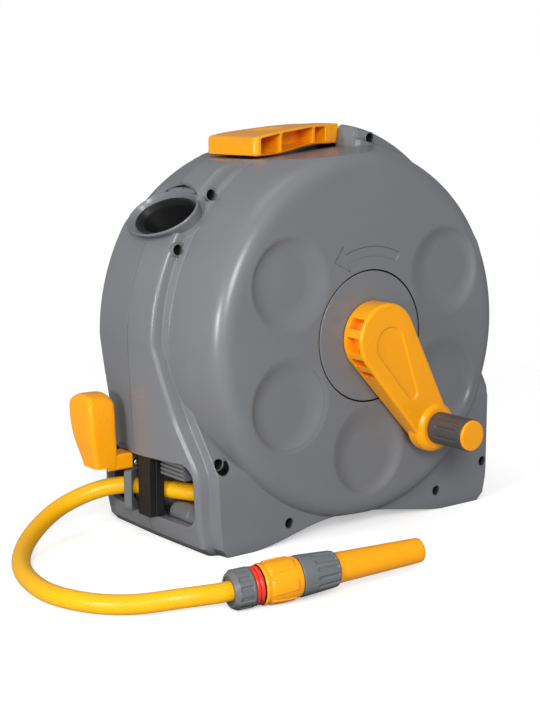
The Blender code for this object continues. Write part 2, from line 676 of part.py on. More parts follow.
def casing_blank(label, left, right, fade):
    """Half of the casing as a shell with these flanks, before anything is cut into its face."""
    blank = turned(f"{label}_blank", shoulder_profile(0, SHOULDER), TO_FRONT, steps=CASE_STEPS)
    boolean(blank, top_cutter(f"{label}_flat_top", 0))
    boolean(blank, flank(f"{label}_flank_left", -1, left, fade), "UNION")
    boolean(blank, flank(f"{label}_flank_right", 1, right), "UNION")
    cavity = turned(f"{label}_cavity", shoulder_profile(WALL, SHOULDER[::2]), TO_FRONT, steps=CASE_STEPS)
    boolean(cavity, top_cutter(f"{label}_flat_top_inner", WALL))
    boolean(cavity, flank(f"{label}_cavity_left", -1, left, fade, WALL), "UNION")
    boolean(cavity, flank(f"{label}_cavity_right", 1, right, inset=WALL), "UNION")
    boolean(cavity, box(f"{label}_floor_cutter", (-FAR, -FAR, -FAR), (FAR, FAR, FLOOR)))
    for foot, start, end in (("foot_left", -FOOT_HOLLOW, ARCH_LEFT - WALL),
                             ("foot_right", ARCH_RIGHT + WALL, FOOT_HOLLOW)):
        hollow = box(f"{label}_{foot}", (start, WALL - BASE_DEPTH, WALL),
                     (end, SEAM_OVERLAP + WALL, FLOOR + WALL))
        boolean(cavity, hollow, "UNION")
    return boolean(blank, cavity)


def casing_fittings(cover, side):
    """What both halves hold: mouth sleeve, pocket boss, screw bosses, handle slot, feet."""
    seam = side * FIT / 2
    low, high = sorted((seam, side * FAR))

    def keep(tool):
        """Cut a solid that spans the seam down to this half."""
        return boolean(tool, box(f"{tool.name}_half", (-FAR, low, -FAR), (FAR, high, FAR)), "INTERSECT")

    label = cover.name
    mouth_x = Vector((1, 0, 0))
    sleeve = rounded_rectangle((-MOUTH_HALF - MOUTH_LIP, MOUTH_BOTTOM - MOUTH_LIP),
                               (MOUTH_HALF + MOUTH_LIP, MOUTH_TOP + MOUTH_LIP),
                               MOUTH_CORNER + MOUTH_LIP)
    carve(cover, keep(plate(f"{label}_sleeve", sleeve, lambda u, v: Vector((MOUTH_FACE, u, v)),
                              mouth_x * (MOUTH_INNER - MOUTH_FACE))), "UNION")
    boss = pocket_loft(f"{label}_pocket_boss",
                       ((0.002, POCKET_RIM, POCKET_RIM),
                        (-POCKET_BOSS, POCKET_RIM + POCKET_FLARE_WIDE, POCKET_RIM + POCKET_FLARE_TALL)))
    carve(cover, keep(boss), "UNION")
    slot_half = KNUCKLE_HALF + SLOT_GAP
    block = box(f"{label}_slot_block",
                (SLOT_LINING, -slot_half - WALL, SLOT_FLOOR - WALL),
                (SLOT_END + WALL, slot_half + WALL, PIVOT_Z + SLOT_BLOCK))
    carve(cover, keep(block), "UNION")
    bosses = [rod(f"{label}_boss_{k}", SCREW_BOSS, (x, seam, z), (x, side * depth, z), steps=8)
              for k, (x, z, depth) in enumerate(CASE_SCREWS)]
    carve(cover, group(f"{label}_bosses", bosses), "UNION")

    mouth = rounded_rectangle((-MOUTH_HALF, MOUTH_BOTTOM), (MOUTH_HALF, MOUTH_TOP), MOUTH_CORNER)
    carve(cover, plate(f"{label}_mouth", mouth, lambda u, v: Vector((-FAR, u, v)),
                       mouth_x * (MOUTH_INNER + FAR + 0.006)))
    hole = [(0.03, 0, 0)] + [(-station[0], 0, 0) for station in POCKET_STATIONS]
    carve(cover, pocket_loft(f"{label}_pocket_hole", hole))
    carve(cover, box(f"{label}_slot", (SLOT_START, -slot_half, SLOT_FLOOR), (SLOT_END, slot_half, FAR)))
    arch = rounded_rectangle((ARCH_LEFT, -2 * ARCH_HEIGHT), (ARCH_RIGHT, ARCH_HEIGHT), ARCH_CORNER)
    carve(cover, plate(f"{label}_arch", arch, lambda u, v: Vector((u, -FAR, v)), Vector((0, 2 * FAR, 0))))


def make_front_cover(blank):
    cover = baked("front_cover", blank)
    trim = box("front_trim", (-FAR, -FIT / 2, -FAR), (FAR, FAR, FAR))
    pads = dimples("dimple_pads", WALL, -WALL / 2, -DIMPLE_DEEP - WALL, 12)
    carve(cover, pads, "UNION")
    collar = rod("collar", HUB_RADIUS + HUB_GAP + WALL, (0, -CASE_DEPTH + WALL * 0.6, AXLE_HEIGHT),
                 (0, -FACE_INNER + COLLAR_LENGTH, AXLE_HEIGHT))
    carve(cover, collar, "UNION")
    casing_fittings(cover, -1)
    carve(cover, rod("hub_hole", HUB_RADIUS + HUB_GAP, (0, -FAR, AXLE_HEIGHT),
                       (0, COLLAR_LENGTH * 2 - CASE_DEPTH, AXLE_HEIGHT), steps=HUB_STEPS))
    carve(cover, dimples("dimple_cuts", 0, DIMPLE_DEEP / 4, -DIMPLE_DEEP, 24))
    carve(cover, plate("arrow", arrow_outline(), lambda u, v: Vector((u, -CASE_DEPTH + ARROW_DEEP, v)),
                         Vector((0, -0.01, 0))))
    bores = [rod(f"bore_{k}", SCREW_BORE, (x, -FAR, z), (x, -SCREW_SEAT, z), steps=10)
             for k, (x, z, _) in enumerate(CASE_SCREWS)]
    carve(cover, group("screw_bores", bores))
    shanks = [rod(f"way_{k}", SCREW_SHANK + FIT, (x, -SCREW_SEAT - 0.001, z), (x, 0.01, z), steps=8)
              for k, (x, z, _) in enumerate(CASE_SCREWS)]
    carve(cover, group("screw_ways", shanks))
    carve(cover, trim)
    return cover


def make_rear_cover(blank):
    cover = baked("rear_cover", blank, mirror=True)
    well = turned("inlet_well", ((0, CASE_DEPTH - WALL / 2), (INLET_RECESS + WALL, CASE_DEPTH - WALL / 2),
                                 (INLET_RECESS + WALL, INLET_FLOOR - WALL), (0, INLET_FLOOR - WALL)),
                  TO_BACK, steps=20)
    carve(cover, well, "UNION")
    casing_fittings(cover, 1)
    carve(cover, rod("inlet_recess", INLET_RECESS, (0, INLET_FLOOR, AXLE_HEIGHT),
                       (0, FAR, AXLE_HEIGHT), steps=28))
    carve(cover, rod("bush_seat", BUSH_RADIUS + FIT, (0, INLET_FLOOR - INLET_RECESS / 2, AXLE_HEIGHT),
                    (0, INLET_FLOOR + INLET_RECESS / 2, AXLE_HEIGHT)))
    pilots = [rod(f"pilot_{k}", SCREW_SHANK + FIT, (x, -0.01, z), (x, SCREW_LENGTH - SCREW_SEAT + 0.002, z),
                  steps=8)
              for k, (x, z, _) in enumerate(CASE_SCREWS)]
    carve(cover, group("screw_pilots", pilots))
    carve(cover, box("guide_block", (GUIDE_BLOCK_LEFT, BOSS_NEAR, MOUTH_TOP),
                     (MOUTH_INNER - FIT, BOSS_FAR, MOUTH_TOP + GUIDE_BLOCK)), "UNION")
    carve(cover, rod("guide_seat", GUIDE_PIN + FIT, (GUIDE_X, GUIDE_Y, MOUTH_TOP - 0.01),
                     (GUIDE_X, GUIDE_Y, MOUTH_TOP + GUIDE_PIN_SEAT + FIT), steps=16))
    carve(cover, box("rear_trim", (-FAR, -FAR, -FAR), (FAR, FIT / 2, FAR)))
    return cover


def make_casing():
    make_front_cover(casing_blank("front", FLANK_LEFT, FLANK_RIGHT, LEFT_FADE))
    make_rear_cover(casing_blank("rear", FLANK_LEFT_REAR, FLANK_RIGHT_REAR, LEFT_FADE_REAR))
    knee, floor = POCKET_STATIONS[1][0], POCKET_STATIONS[-1][0]
    cup = pocket_loft("nozzle_holster", ((-POCKET_SETBACK, 0, 0), (-knee, 0, 0), (-floor, 0, 0)),
                      FIT, "dark")
    boolean(cup, pocket_loft("cup_hollow", ((0.01, 0, 0), (0, 0, 0), (-knee, 0, 0),
                                            (-floor + CUP_WALL, 0, 0)), FIT + CUP_WALL))
    for k, (x, z, _) in enumerate(CASE_SCREWS):
        screw(f"casing_screw_{k + 1}", (x, -SCREW_SEAT - FIT, z), 1, SCREW_HEAD, SCREW_HEAD_LENGTH,
              SCREW_SHANK, SCREW_LENGTH)


def screw(name, seat, direction, head, head_length, shank, length, parent=None, steps=6):
    """Head and shank as one turned solid; the seat is the head's underside, and the shank
    points backwards (1) or forwards (-1)."""
    profile = ((0, head_length), (head, head_length), (head, 0), (shank, 0), (shank, -length),
               (0, -length))
    turn = Matrix.Rotation(direction * math.pi / 2, 4, "X")
    return turned(name, profile, Matrix.Translation(seat) @ turn, "steel", parent, steps)


def make_drum():
    """Drum on its hollow axle, the wound hose, hub disc and crank."""
    drum = pivot("drum_axis", AXLE)
    hole = AXLE_RADIUS + FIT
    for name, matrix in (("drum_front_half", TO_FRONT), ("drum_rear_half", TO_BACK)):
        tube_end = FLANGE_INNER - HUB_TUBE_LENGTH
        profile = ((FLANGE_RADIUS, FLANGE_OUTER), (FLANGE_RADIUS, FLANGE_INNER),
                   (BARREL_RADIUS, FLANGE_INNER), (BARREL_RADIUS, FIT / 2),
                   (BARREL_RADIUS - WALL, FIT / 2), (BARREL_RADIUS - WALL, FLANGE_INNER),
                   (hole + HUB_TUBE, FLANGE_INNER), (hole + HUB_TUBE, tube_end),
                   (hole, tube_end), (hole, FLANGE_OUTER))
        half = turned(name, profile, matrix, "dark", drum, steps=DRUM_STEPS)
        if matrix is TO_FRONT:
            ways = [rod(f"hub_way_{k}", HUB_SCREW_SHANK + FIT, (x, -FLANGE_INNER + 0.005, z),
                        (x, -CASE_DEPTH, z), steps=8) for k, (x, z) in enumerate(hub_screw_places())]
            boolean(half, group("hub_ways", ways))

    outer, skirt = HUB_RADIUS, HUB_RADIUS + HUB_GAP - FIT
    bottom, plate_back = FLANGE_OUTER + FIT, CASE_DEPTH - HUB_PLATE
    step = plate_back - HUB_SKIRT_SETBACK
    disc = turned("hub_disc", ((0, CASE_DEPTH), (outer - 0.0008, CASE_DEPTH), (outer, CASE_DEPTH - 0.0008),
                               (outer, step), (skirt, step), (skirt, bottom),
                               (skirt - HUB_SKIRT_WALL, bottom), (skirt - HUB_SKIRT_WALL, plate_back),
                               (HUB_COLUMN, plate_back), (HUB_COLUMN, bottom), (0, bottom)),
                  TO_FRONT, "casing", drum, steps=HUB_STEPS)
    columns = [rod(f"hub_column_{k}", HUB_SCREW_BOSS, (x, -bottom, z),
                   (x, -plate_back - WALL / 2, z), steps=8)
               for k, (x, z) in enumerate(hub_screw_places())]
    boolean(disc, group("hub_columns", columns), "UNION")
    boolean(disc, rod("spigot", SPIGOT_RADIUS, (0, -CASE_DEPTH + 0.001, AXLE_HEIGHT),
                      (0, -CASE_DEPTH - SPIGOT_LENGTH, AXLE_HEIGHT)), "UNION")
    holes = [rod(f"hub_hole_{k}", HUB_SCREW_SHANK + FIT, (x, -bottom + 0.005, z),
                 (x, -FLANGE_INNER - HUB_SCREW_REACH - 0.001, z), steps=8)
             for k, (x, z) in enumerate(hub_screw_places())]
    boolean(disc, group("hub_holes", holes))
    boolean(disc, rod("crank_screw_way", CRANK_SCREW_SHANK + FIT, (0, -bottom / 2, AXLE_HEIGHT),
                      (0, -CRANK_DEPTH, AXLE_HEIGHT), steps=12))
    seat = bottom + CRANK_SCREW_HEAD_LENGTH + 0.001
    boolean(disc, rod("crank_screw_seat", CRANK_SCREW_HEAD + FIT, (0, -bottom / 2, AXLE_HEIGHT),
                      (0, -seat, AXLE_HEIGHT), steps=16))
    for k, (x, z) in enumerate(hub_screw_places()):
        screw(f"hub_screw_{k + 1}", (x, -FLANGE_INNER + FIT, z), -1, HUB_SCREW_HEAD,
              HUB_SCREW_HEAD_LENGTH, HUB_SCREW_SHANK, HUB_SCREW_REACH, drum)
    screw("crank_screw", (0, -seat + FIT, AXLE_HEIGHT), -1, CRANK_SCREW_HEAD,
          CRANK_SCREW_HEAD_LENGTH, CRANK_SCREW_SHANK, CRANK_DEPTH - seat - 0.006, drum)

    turned("axle_tube", ((AXLE_RADIUS, AXLE_TAIL), (AXLE_RADIUS, -AXLE_FRONT), (AXLE_BORE, -AXLE_FRONT),
                         (AXLE_BORE, AXLE_TAIL)), TO_BACK, "dark", drum, steps=24)
    rod("barrel_elbow", 0.006, (0, -0.040, AXLE_HEIGHT + AXLE_RADIUS + FIT),
        (0, -0.040, AXLE_HEIGHT + BARREL_RADIUS - WALL - ELBOW_GAP), "dark", drum, steps=12)
    turned("hose_winding", ((WINDING_RADIUS, WINDING_HALF), (WINDING_RADIUS, -WINDING_HALF),
                            (BARREL_RADIUS + FIT, -WINDING_HALF), (BARREL_RADIUS + FIT, WINDING_HALF)),
           TO_BACK, "hose", drum, steps=DRUM_STEPS)
    make_crank(drum)
    return drum


def hub_screw_places():
    for k in range(4):
        angle = math.radians(45 + 90 * k)
        yield HUB_SCREW_CIRCLE * math.cos(angle), AXLE_HEIGHT + HUB_SCREW_CIRCLE * math.sin(angle)


def make_crank(drum):
    back = CASE_DEPTH + FIT
    arm = hull("crank_arm", ((0, AXLE_HEIGHT, CRANK_HEAD - CRANK_EDGE, CRANK_DEPTH),
                             (0, AXLE_HEIGHT, CRANK_HEAD, CRANK_DEPTH - CRANK_EDGE),
                             (0, AXLE_HEIGHT, CRANK_HEAD, back),
                             (GRIP_X, GRIP_Z, CRANK_END - CRANK_EDGE, CRANK_DEPTH),
                             (GRIP_X, GRIP_Z, CRANK_END, CRANK_DEPTH - CRANK_EDGE),
                             (GRIP_X, GRIP_Z, CRANK_END - CRANK_EDGE, CRANK_DEPTH - CRANK_END_THICK)),
               "accent", drum, steps=28)
    boss = rod("grip_boss", CRANK_END - CRANK_EDGE - 0.001, (GRIP_X, -CRANK_DEPTH + 0.001, GRIP_Z),
               (GRIP_X, -CRANK_DEPTH - CRANK_BOSS_RISE, GRIP_Z), steps=28, tip=CRANK_BOSS_TOP)
    boolean(arm, boss, "UNION")
    recess = hull("arm_recess", ((0.003, AXLE_HEIGHT - 0.006, 0.0165, CRANK_DEPTH - CRANK_RECESS),
                                 (0.003, AXLE_HEIGHT - 0.006, 0.0175, CRANK_DEPTH + 0.001),
                                 (0.034, AXLE_HEIGHT - 0.058, 0.0055, CRANK_DEPTH - CRANK_RECESS),
                                 (0.034, AXLE_HEIGHT - 0.058, 0.0065, CRANK_DEPTH + 0.001)), steps=20)
    boolean(arm, recess)
    slope = math.atan2(GRIP_Z - AXLE_HEIGHT, GRIP_X)
    pockets = []
    for k, (degrees, along, width) in enumerate(CRANK_POCKETS):
        angle = math.radians(degrees)
        out = Vector((math.cos(angle), 0, math.sin(angle)))
        centre = AXLE + out * CRANK_HEAD + along * Vector((math.cos(slope), 0, math.sin(slope)))
        half = width / 2
        tilt = Matrix.Rotation(-angle, 4, "Y")
        front = CRANK_DEPTH - 0.003
        tool = box(f"arm_pocket_{k}", (-CRANK_POCKET_DEEP, -front, -half), (0.010, -back - 0.005, half))
        tool.data.transform(Matrix.Translation((centre.x, 0, centre.z)) @ tilt)
        pockets.append(tool)
    boolean(arm, group("arm_pockets", pockets))
    boolean(arm, rod("spigot_hole", SPIGOT_RADIUS + FIT, (0, -CASE_DEPTH + 0.01, AXLE_HEIGHT),
                     (0, -CASE_DEPTH - SPIGOT_LENGTH - FIT, AXLE_HEIGHT)))
    boolean(arm, rod("bolt_hole", CRANK_SCREW_SHANK + FIT, (0, -CASE_DEPTH, AXLE_HEIGHT),
                     (0, -CRANK_DEPTH + 0.0045, AXLE_HEIGHT), steps=12))
    boolean(arm, rod("spindle_hole", SPINDLE_RADIUS + FIT, (GRIP_X, -GRIP_END, GRIP_Z),
                     (GRIP_X, -CRANK_DEPTH + SPINDLE_ROOT + FIT, GRIP_Z), steps=16))

    cap = GRIP_END + FIT
    turned("grip_spindle", ((0, cap + SPINDLE_CAP_LENGTH), (SPINDLE_CAP - 0.001, cap + SPINDLE_CAP_LENGTH),
                            (SPINDLE_CAP, cap + SPINDLE_CAP_LENGTH - 0.001), (SPINDLE_CAP, cap),
                            (SPINDLE_RADIUS, cap), (SPINDLE_RADIUS, CRANK_DEPTH - SPINDLE_ROOT),
                            (0, CRANK_DEPTH - SPINDLE_ROOT)), grip_matrix(), "accent", drum, steps=28)
    grip_axis = pivot("grip_axis", (GRIP_X, 0, GRIP_Z))
    turned("crank_grip", ((GRIP_RADIUS - 0.001, GRIP_END), (GRIP_RADIUS, GRIP_END - 0.001),
                          (GRIP_RADIUS, GRIP_START), (SPINDLE_RADIUS + FIT, GRIP_START),
                          (SPINDLE_RADIUS + FIT, GRIP_END)), grip_matrix(), "grip", grip_axis, steps=28)


def grip_matrix():
    return Matrix.Translation((GRIP_X, 0, GRIP_Z)) @ Matrix.Rotation(math.pi / 2, 4, "X")


def make_handle():
    """Carry handle with pockets in its sides, hinged at its right end."""
    hinge = pivot("handle_axis", (PIVOT_X, 0, PIVOT_Z))
    rings = []
    for x, half, low, high in HANDLE_STATIONS:
        section = rounded_rectangle((-half, low), (half, high), 0.003, steps=2)
        rings.append([Vector((x, u, v)) for u, v in section])
    handle = loft("carry_handle", rings, "accent", hinge)
    tongue = box("tongue", (HANDLE_STATIONS[-1][0] - 0.004, -KNUCKLE_HALF, HANDLE_STATIONS[-1][2] + 0.0005),
                 (HANDLE_END, KNUCKLE_HALF, HANDLE_TOP), bevel=0.001)
    boolean(handle, tongue, "UNION")
    boolean(handle, box("neck", (HANDLE_END - 0.003, -KNUCKLE_HALF, PIVOT_Z - KNUCKLE_RADIUS),
                        (PIVOT_X, KNUCKLE_HALF, PIVOT_Z + KNUCKLE_RADIUS)), "UNION")
    boolean(handle, rod("knuckle", KNUCKLE_RADIUS, (PIVOT_X, -KNUCKLE_HALF, PIVOT_Z),
                        (PIVOT_X, KNUCKLE_HALF, PIVOT_Z)), "UNION")
    pockets = []
    for k, pocket in enumerate(HANDLE_POCKETS):
        for side in (-1, 1):
            rings = []
            for x in (PIVOT_X + end for end in pocket):
                half, low, high = (np.interp(x, [s[0] for s in HANDLE_STATIONS],
                                             [s[c] for s in HANDLE_STATIONS]) for c in (1, 2, 3))
                inner, outer = side * HANDLE_WEB / 2, side * (half + 0.01)
                low, high = low + HANDLE_SKIN, high - HANDLE_SKIN
                rings.append([Vector((x, inner, low)), Vector((x, outer, low)),
                              Vector((x, outer, high)), Vector((x, inner, high))])
            pockets.append(loft(f"handle_pocket_{k}_{side + 1}", rings))
    boolean(handle, group("handle_pockets", pockets))
    pad_x, pad_radius, pad_deep = PIVOT_X + HANDLE_PAD[0], *HANDLE_PAD[1:]
    top = float(np.interp(pad_x, [s[0] for s in HANDLE_STATIONS], [s[3] for s in HANDLE_STATIONS]))
    boolean(handle, rod("handle_pad", pad_radius * 0.6, (pad_x, 0, top - pad_deep), (pad_x, 0, top + 0.002),
                        tip=pad_radius, steps=24))
    boolean(handle, rod("knuckle_hole", SCREW_SHANK + FIT, (PIVOT_X, -0.03, PIVOT_Z),
                        (PIVOT_X, 0.03, PIVOT_Z), steps=12))


def make_guide():
    """Swinging eye with its lever, and the fixed post, rail and shelf in the mouth."""
    axis = pivot("guide_axis", (GUIDE_X, GUIDE_Y, 0))
    heading = Vector((math.cos(GUIDE_HEADING), math.sin(GUIDE_HEADING), 0))
    across = Vector((heading.y, -heading.x, 0))
    centre = Vector((GUIDE_X, GUIDE_Y, 0))
    outline = rounded_rectangle((-EYE_HALF, MOUTH_BOTTOM + FIT), (EYE_HALF, EYE_TOP), 0.006, steps=3)
    eye = plate("guide_eye", outline,
                lambda u, v: centre + across * u - heading * EYE_THICK / 2 + Vector((0, 0, v)),
                heading * EYE_THICK, "fitting", axis)
    boss_top = MOUTH_TOP - 2 * FIT
    boolean(eye, box("eye_boss", (BOSS_LEFT, BOSS_NEAR, EYE_TOP - 0.003), (BOSS_RIGHT, BOSS_FAR, boss_top),
                     bevel=0.001), "UNION")
    boolean(eye, rod("eye_pin_top", GUIDE_PIN, (GUIDE_X, GUIDE_Y, EYE_TOP),
                     (GUIDE_X, GUIDE_Y, MOUTH_TOP + GUIDE_PIN_SEAT), steps=16), "UNION")
    at_eye = centre + Vector((0, 0, HOSE_HEIGHT))
    boolean(eye, rod("eye_hole", EYE_RADIUS, at_eye - heading * 0.02, at_eye + heading * 0.02, steps=24))
    screw_y = BOSS_NEAR
    boolean(eye, rod("guide_screw_hole", 0.0018 + FIT, (GUIDE_SCREW_X, screw_y - 0.01, GUIDE_SCREW_Z),
                     (GUIDE_SCREW_X, screw_y + 0.0075, GUIDE_SCREW_Z), steps=12))
    screw("guide_screw", (GUIDE_SCREW_X, screw_y - FIT, GUIDE_SCREW_Z), 1, 0.0034, 0.0022, 0.0018,
          0.007, axis)

    rings = []
    for z, left, right, near, far in LEVER_STATIONS:
        corner = 0.35 * (right - left)
        section = rounded_rectangle((left, near), (right, far), corner, steps=3)
        rings.append([Vector((u, v, z)) for u, v in section])
    lever = loft("guide_lever", rings, "accent", axis)
    foot_left, near, far = LEVER_FOOT
    first = LEVER_STATIONS[0]
    boolean(lever, box("lever_foot", (first[1] + 0.010, near, LEVER_FOOT_BOTTOM),
                       (BOSS_LEFT - FIT, far, boss_top), bevel=0.002), "UNION")
    hollow = [[Vector((u, v, z)) for u, v in
               rounded_rectangle((first[1] + LEVER_HOLLOW + lean, first[3] + LEVER_HOLLOW + lean),
                                 (foot_left - 0.003, first[4] - LEVER_HOLLOW - lean), 0.004, steps=2)]
              for z, lean in ((0.06, 0), (LEVER_HOLLOW_TOP, 0.001))]
    boolean(lever, loft("lever_hollow", hollow))

    post = ((POST_LEFT, POST_NEAR), (POST_RIGHT, POST_NEAR), (POST_RIGHT, POST_NEAR + POST_CHAMFER / 2),
            (POST_RIGHT - POST_CHAMFER, POST_FAR), (POST_LEFT, POST_FAR))
    plate("guide_post", post, lambda u, v: Vector((u, v, MOUTH_BOTTOM + FIT)),
          Vector((0, 0, MOUTH_TOP - MOUTH_BOTTOM - 2 * FIT)), "dark")
    rail = (HOSE_HEIGHT - HOSE_RADIUS - FIT - FLOOR - FIT) / 2
    rod("guide_rail", rail, (RAIL_X, RAIL_NEAR, FLOOR + FIT + rail), (RAIL_X, RAIL_FAR, FLOOR + FIT + rail),
        "fitting", steps=20)
    box("guide_shelf", (SHELF_LEFT, SHELF_NEAR, SHELF_BOTTOM), (SHELF_RIGHT, SHELF_FAR, MOUTH_TOP - FIT),
        "fitting", bevel=0.002)


def make_inlet():
    """Static water inlet in the recess behind the axle, with its bush, seal and nut."""
    turned("rear_bush", ((BUSH_RADIUS, INLET_FLOOR - FIT), (BUSH_RADIUS, INLET_FLOOR - BUSH_LENGTH),
                         (AXLE_RADIUS + FIT, INLET_FLOOR - BUSH_LENGTH),
                         (AXLE_RADIUS + FIT, INLET_FLOOR - FIT)),
           TO_BACK, "dark", steps=20)
    seal_top = INLET_FLOOR + FIT + INLET_SEAL_THICK
    turned("inlet_seal", ((INLET_FLANGE - 0.001, seal_top), (INLET_FLANGE - 0.001, INLET_FLOOR + FIT),
                          (AXLE_RADIUS + 0.002, INLET_FLOOR + FIT), (AXLE_RADIUS + 0.002, seal_top)),
           TO_BACK, "rubber", steps=20)
    low = seal_top + FIT
    high = low + INLET_FLANGE_THICK
    turned("inlet_connector", ((INLET_TAIL, INLET_TAIL_END), (INLET_TAIL, high), (INLET_FLANGE, high),
                               (INLET_FLANGE, low), (AXLE_BORE - FIT, low), (AXLE_BORE - FIT, INLET_ROOT),
                               (INLET_BORE, INLET_ROOT), (INLET_BORE, INLET_TAIL_END)),
           TO_BACK, "fitting", steps=20)
    nut = rod("inlet_nut", NUT_FLATS, (0, high + FIT, AXLE_HEIGHT), (0, high + FIT + NUT_END - NUT_START,
                                                                     AXLE_HEIGHT), "fitting", steps=6)
    boolean(nut, rod("inlet_nut_hole", INLET_TAIL + FIT, (0, INLET_ROOT, AXLE_HEIGHT),
                     (0, INLET_TAIL_END * 2, AXLE_HEIGHT)))


def make_hose_end():
    """Nut, ring, quick connector and adjustable nozzle, lying on the ground."""
    hose = HOSE_RADIUS + FIT
    tail_hole = TAIL_RADIUS + FIT
    turned("hose_nut", ((NUT_RADIUS - 0.001, NUT_LENGTH), (NUT_RADIUS, NUT_LENGTH - 0.001),
                              (NUT_RADIUS, 0.006), (NUT_RADIUS - 0.003, 0), (hose, 0), (hose, NUT_HOSE),
                              (tail_hole, NUT_HOSE), (tail_hole, NUT_LENGTH)), TO_END, "fitting", steps=20)
    turned("connector_tail", ((TAIL_RADIUS, TAIL_END), (TAIL_RADIUS, NUT_HOSE + FIT),
                              (TAIL_BORE, NUT_HOSE + FIT), (TAIL_BORE, TAIL_END)),
           TO_END, "fitting", steps=20)
    ring_start = NUT_LENGTH + FIT
    ring_end = ring_start + RING_LENGTH
    turned("connector_ring", ((RING_RADIUS, ring_end), (RING_RADIUS, ring_start), (tail_hole, ring_start),
                              (tail_hole, ring_end)), TO_END, "ring", steps=24)
    body_start = ring_end + FIT
    body_end = body_start + BODY_LENGTH
    skirt = RING_RADIUS + FIT
    release = pivot("release_axis", END_PLACE)
    turned("connector_body", ((BODY_RADIUS - 0.0012, body_end), (BODY_RADIUS, body_end - 0.012),
                                     (BODY_RADIUS, body_start + 0.012), (BODY_RADIUS - 0.0015, body_start),
                                     (skirt, body_start), (skirt, body_start + BODY_SKIRT),
                                     (tail_hole, body_start + BODY_SKIRT), (tail_hole, body_end)),
                  TO_END, "accent", release, steps=24)
    stem_start = TAIL_END + FIT
    collar_start = body_end + FIT
    collar_end = collar_start + COLLAR_SIZE
    barrel_start = collar_end + FIT
    seal = stem_start + 0.007
    groove = TAIL_RADIUS - SEAL_GROOVE
    neck_end, needle_end = barrel_start + STEM_NECK_LENGTH, barrel_start + STEM_NEEDLE_LENGTH
    groove_end, groove_start = seal + SEAL_HALF + FIT, seal - SEAL_HALF - FIT
    turned("nozzle_stem", ((0, needle_end), (STEM_NEEDLE, needle_end - 0.002), (STEM_NEEDLE, neck_end),
                           (STEM_NECK, neck_end), (STEM_NECK, collar_end - WALL),
                           (TAIL_RADIUS, collar_end - WALL), (TAIL_RADIUS, groove_end),
                           (groove, groove_end), (groove, groove_start), (TAIL_RADIUS, groove_start),
                           (TAIL_RADIUS, stem_start), (0, stem_start)),
           TO_END, "fitting", steps=20)
    thick = (SEAL_GROOVE - FIT) / 2
    angles = [-math.tau * k / 6 for k in range(6)]
    profile = [(groove + FIT + thick * (1 + math.cos(a)), seal + SEAL_HALF * math.sin(a)) for a in angles]
    turned("connector_seal", profile, TO_END, "rubber", steps=16)
    turned("nozzle_collar", ((COLLAR_TIP - 0.001, collar_end), (COLLAR_TIP, collar_end - 0.002),
                             (COLLAR_ROOT - 0.0002, collar_start + 0.008), (COLLAR_ROOT, collar_start),
                             (tail_hole, collar_start), (tail_hole, collar_end)),
           TO_END, "fitting", steps=20)
    twist = pivot("nozzle_axis", END_PLACE)
    tip = barrel_start + BARREL_LENGTH
    turned("nozzle_barrel", ((BARREL_TIP - 0.001, tip), (BARREL_TIP, tip - 0.001),
                             (BARREL_ROOT, barrel_start), (BARREL_BORE, barrel_start),
                             (BARREL_BORE, neck_end + 0.004), (BARREL_MOUTH, tip)),
           TO_END, "accent", twist, steps=24)


def make_hose():
    """Hose from under the winding to the guide's eye, and the loose end that lies out."""
    heading = Vector((math.cos(GUIDE_HEADING), math.sin(GUIDE_HEADING), 0))
    eye = Vector((GUIDE_X, GUIDE_Y, HOSE_HEIGHT))
    run = smooth_points([*RUN_ROUTE, eye - heading * EYE_STRAIGHT, eye - heading * FIT / 2], RUN_POINTS)
    tube("hose_run", run, HOSE_RADIUS, 2, "hose")
    nut = Vector(END_PLACE)
    free = smooth_points([eye + heading * FIT / 2, eye + heading * EYE_STRAIGHT, *FREE_ROUTE,
                          nut - END_AXIS * NUT_STRAIGHT, nut + END_AXIS * (NUT_HOSE - FIT)],
                         FREE_POINTS)
    tube("hose_free", free, HOSE_RADIUS, 3, "hose")
    length = np.linalg.norm(np.diff(free, axis=0), axis=1).sum()
    print(f"free hose: {length * 1000:.0f} mm long")


def stand_on_origin():
    """Move the model so that its origin is the middle of its footprint, without the loose hose."""
    loose = ("hose_free", "hose_nut", "connector_", "nozzle_stem", "nozzle_collar", "nozzle_barrel")
    bpy.context.view_layer.update()
    graph = bpy.context.evaluated_depsgraph_get()
    low, high = np.full(3, np.inf), np.full(3, -np.inf)
    for obj in parts.objects:
        if obj.type == "EMPTY" or obj.name.startswith(loose):
            continue
        mesh = bpy.data.meshes.new_from_object(obj.evaluated_get(graph))
        mesh.transform(obj.matrix_world)
        points = np.empty(len(mesh.vertices) * 3)
        mesh.vertices.foreach_get("co", points)
        low = np.minimum(low, points.reshape(-1, 3).min(axis=0))
        high = np.maximum(high, points.reshape(-1, 3).max(axis=0))
    middle = (low + high) / 2
    reel.location = (-middle[0], -middle[1], -low[2])
    print(f"seam and axle stand at x {-middle[0]:.5f} y {-middle[1]:.5f} z {-low[2]:.5f}")


make_casing()
make_drum()
make_handle()
make_guide()
make_inlet()
make_hose_end()
make_hose()
stand_on_origin()
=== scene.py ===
import json
import math
import bmesh
import bpy
import numpy as np
from mathutils import Matrix, Vector


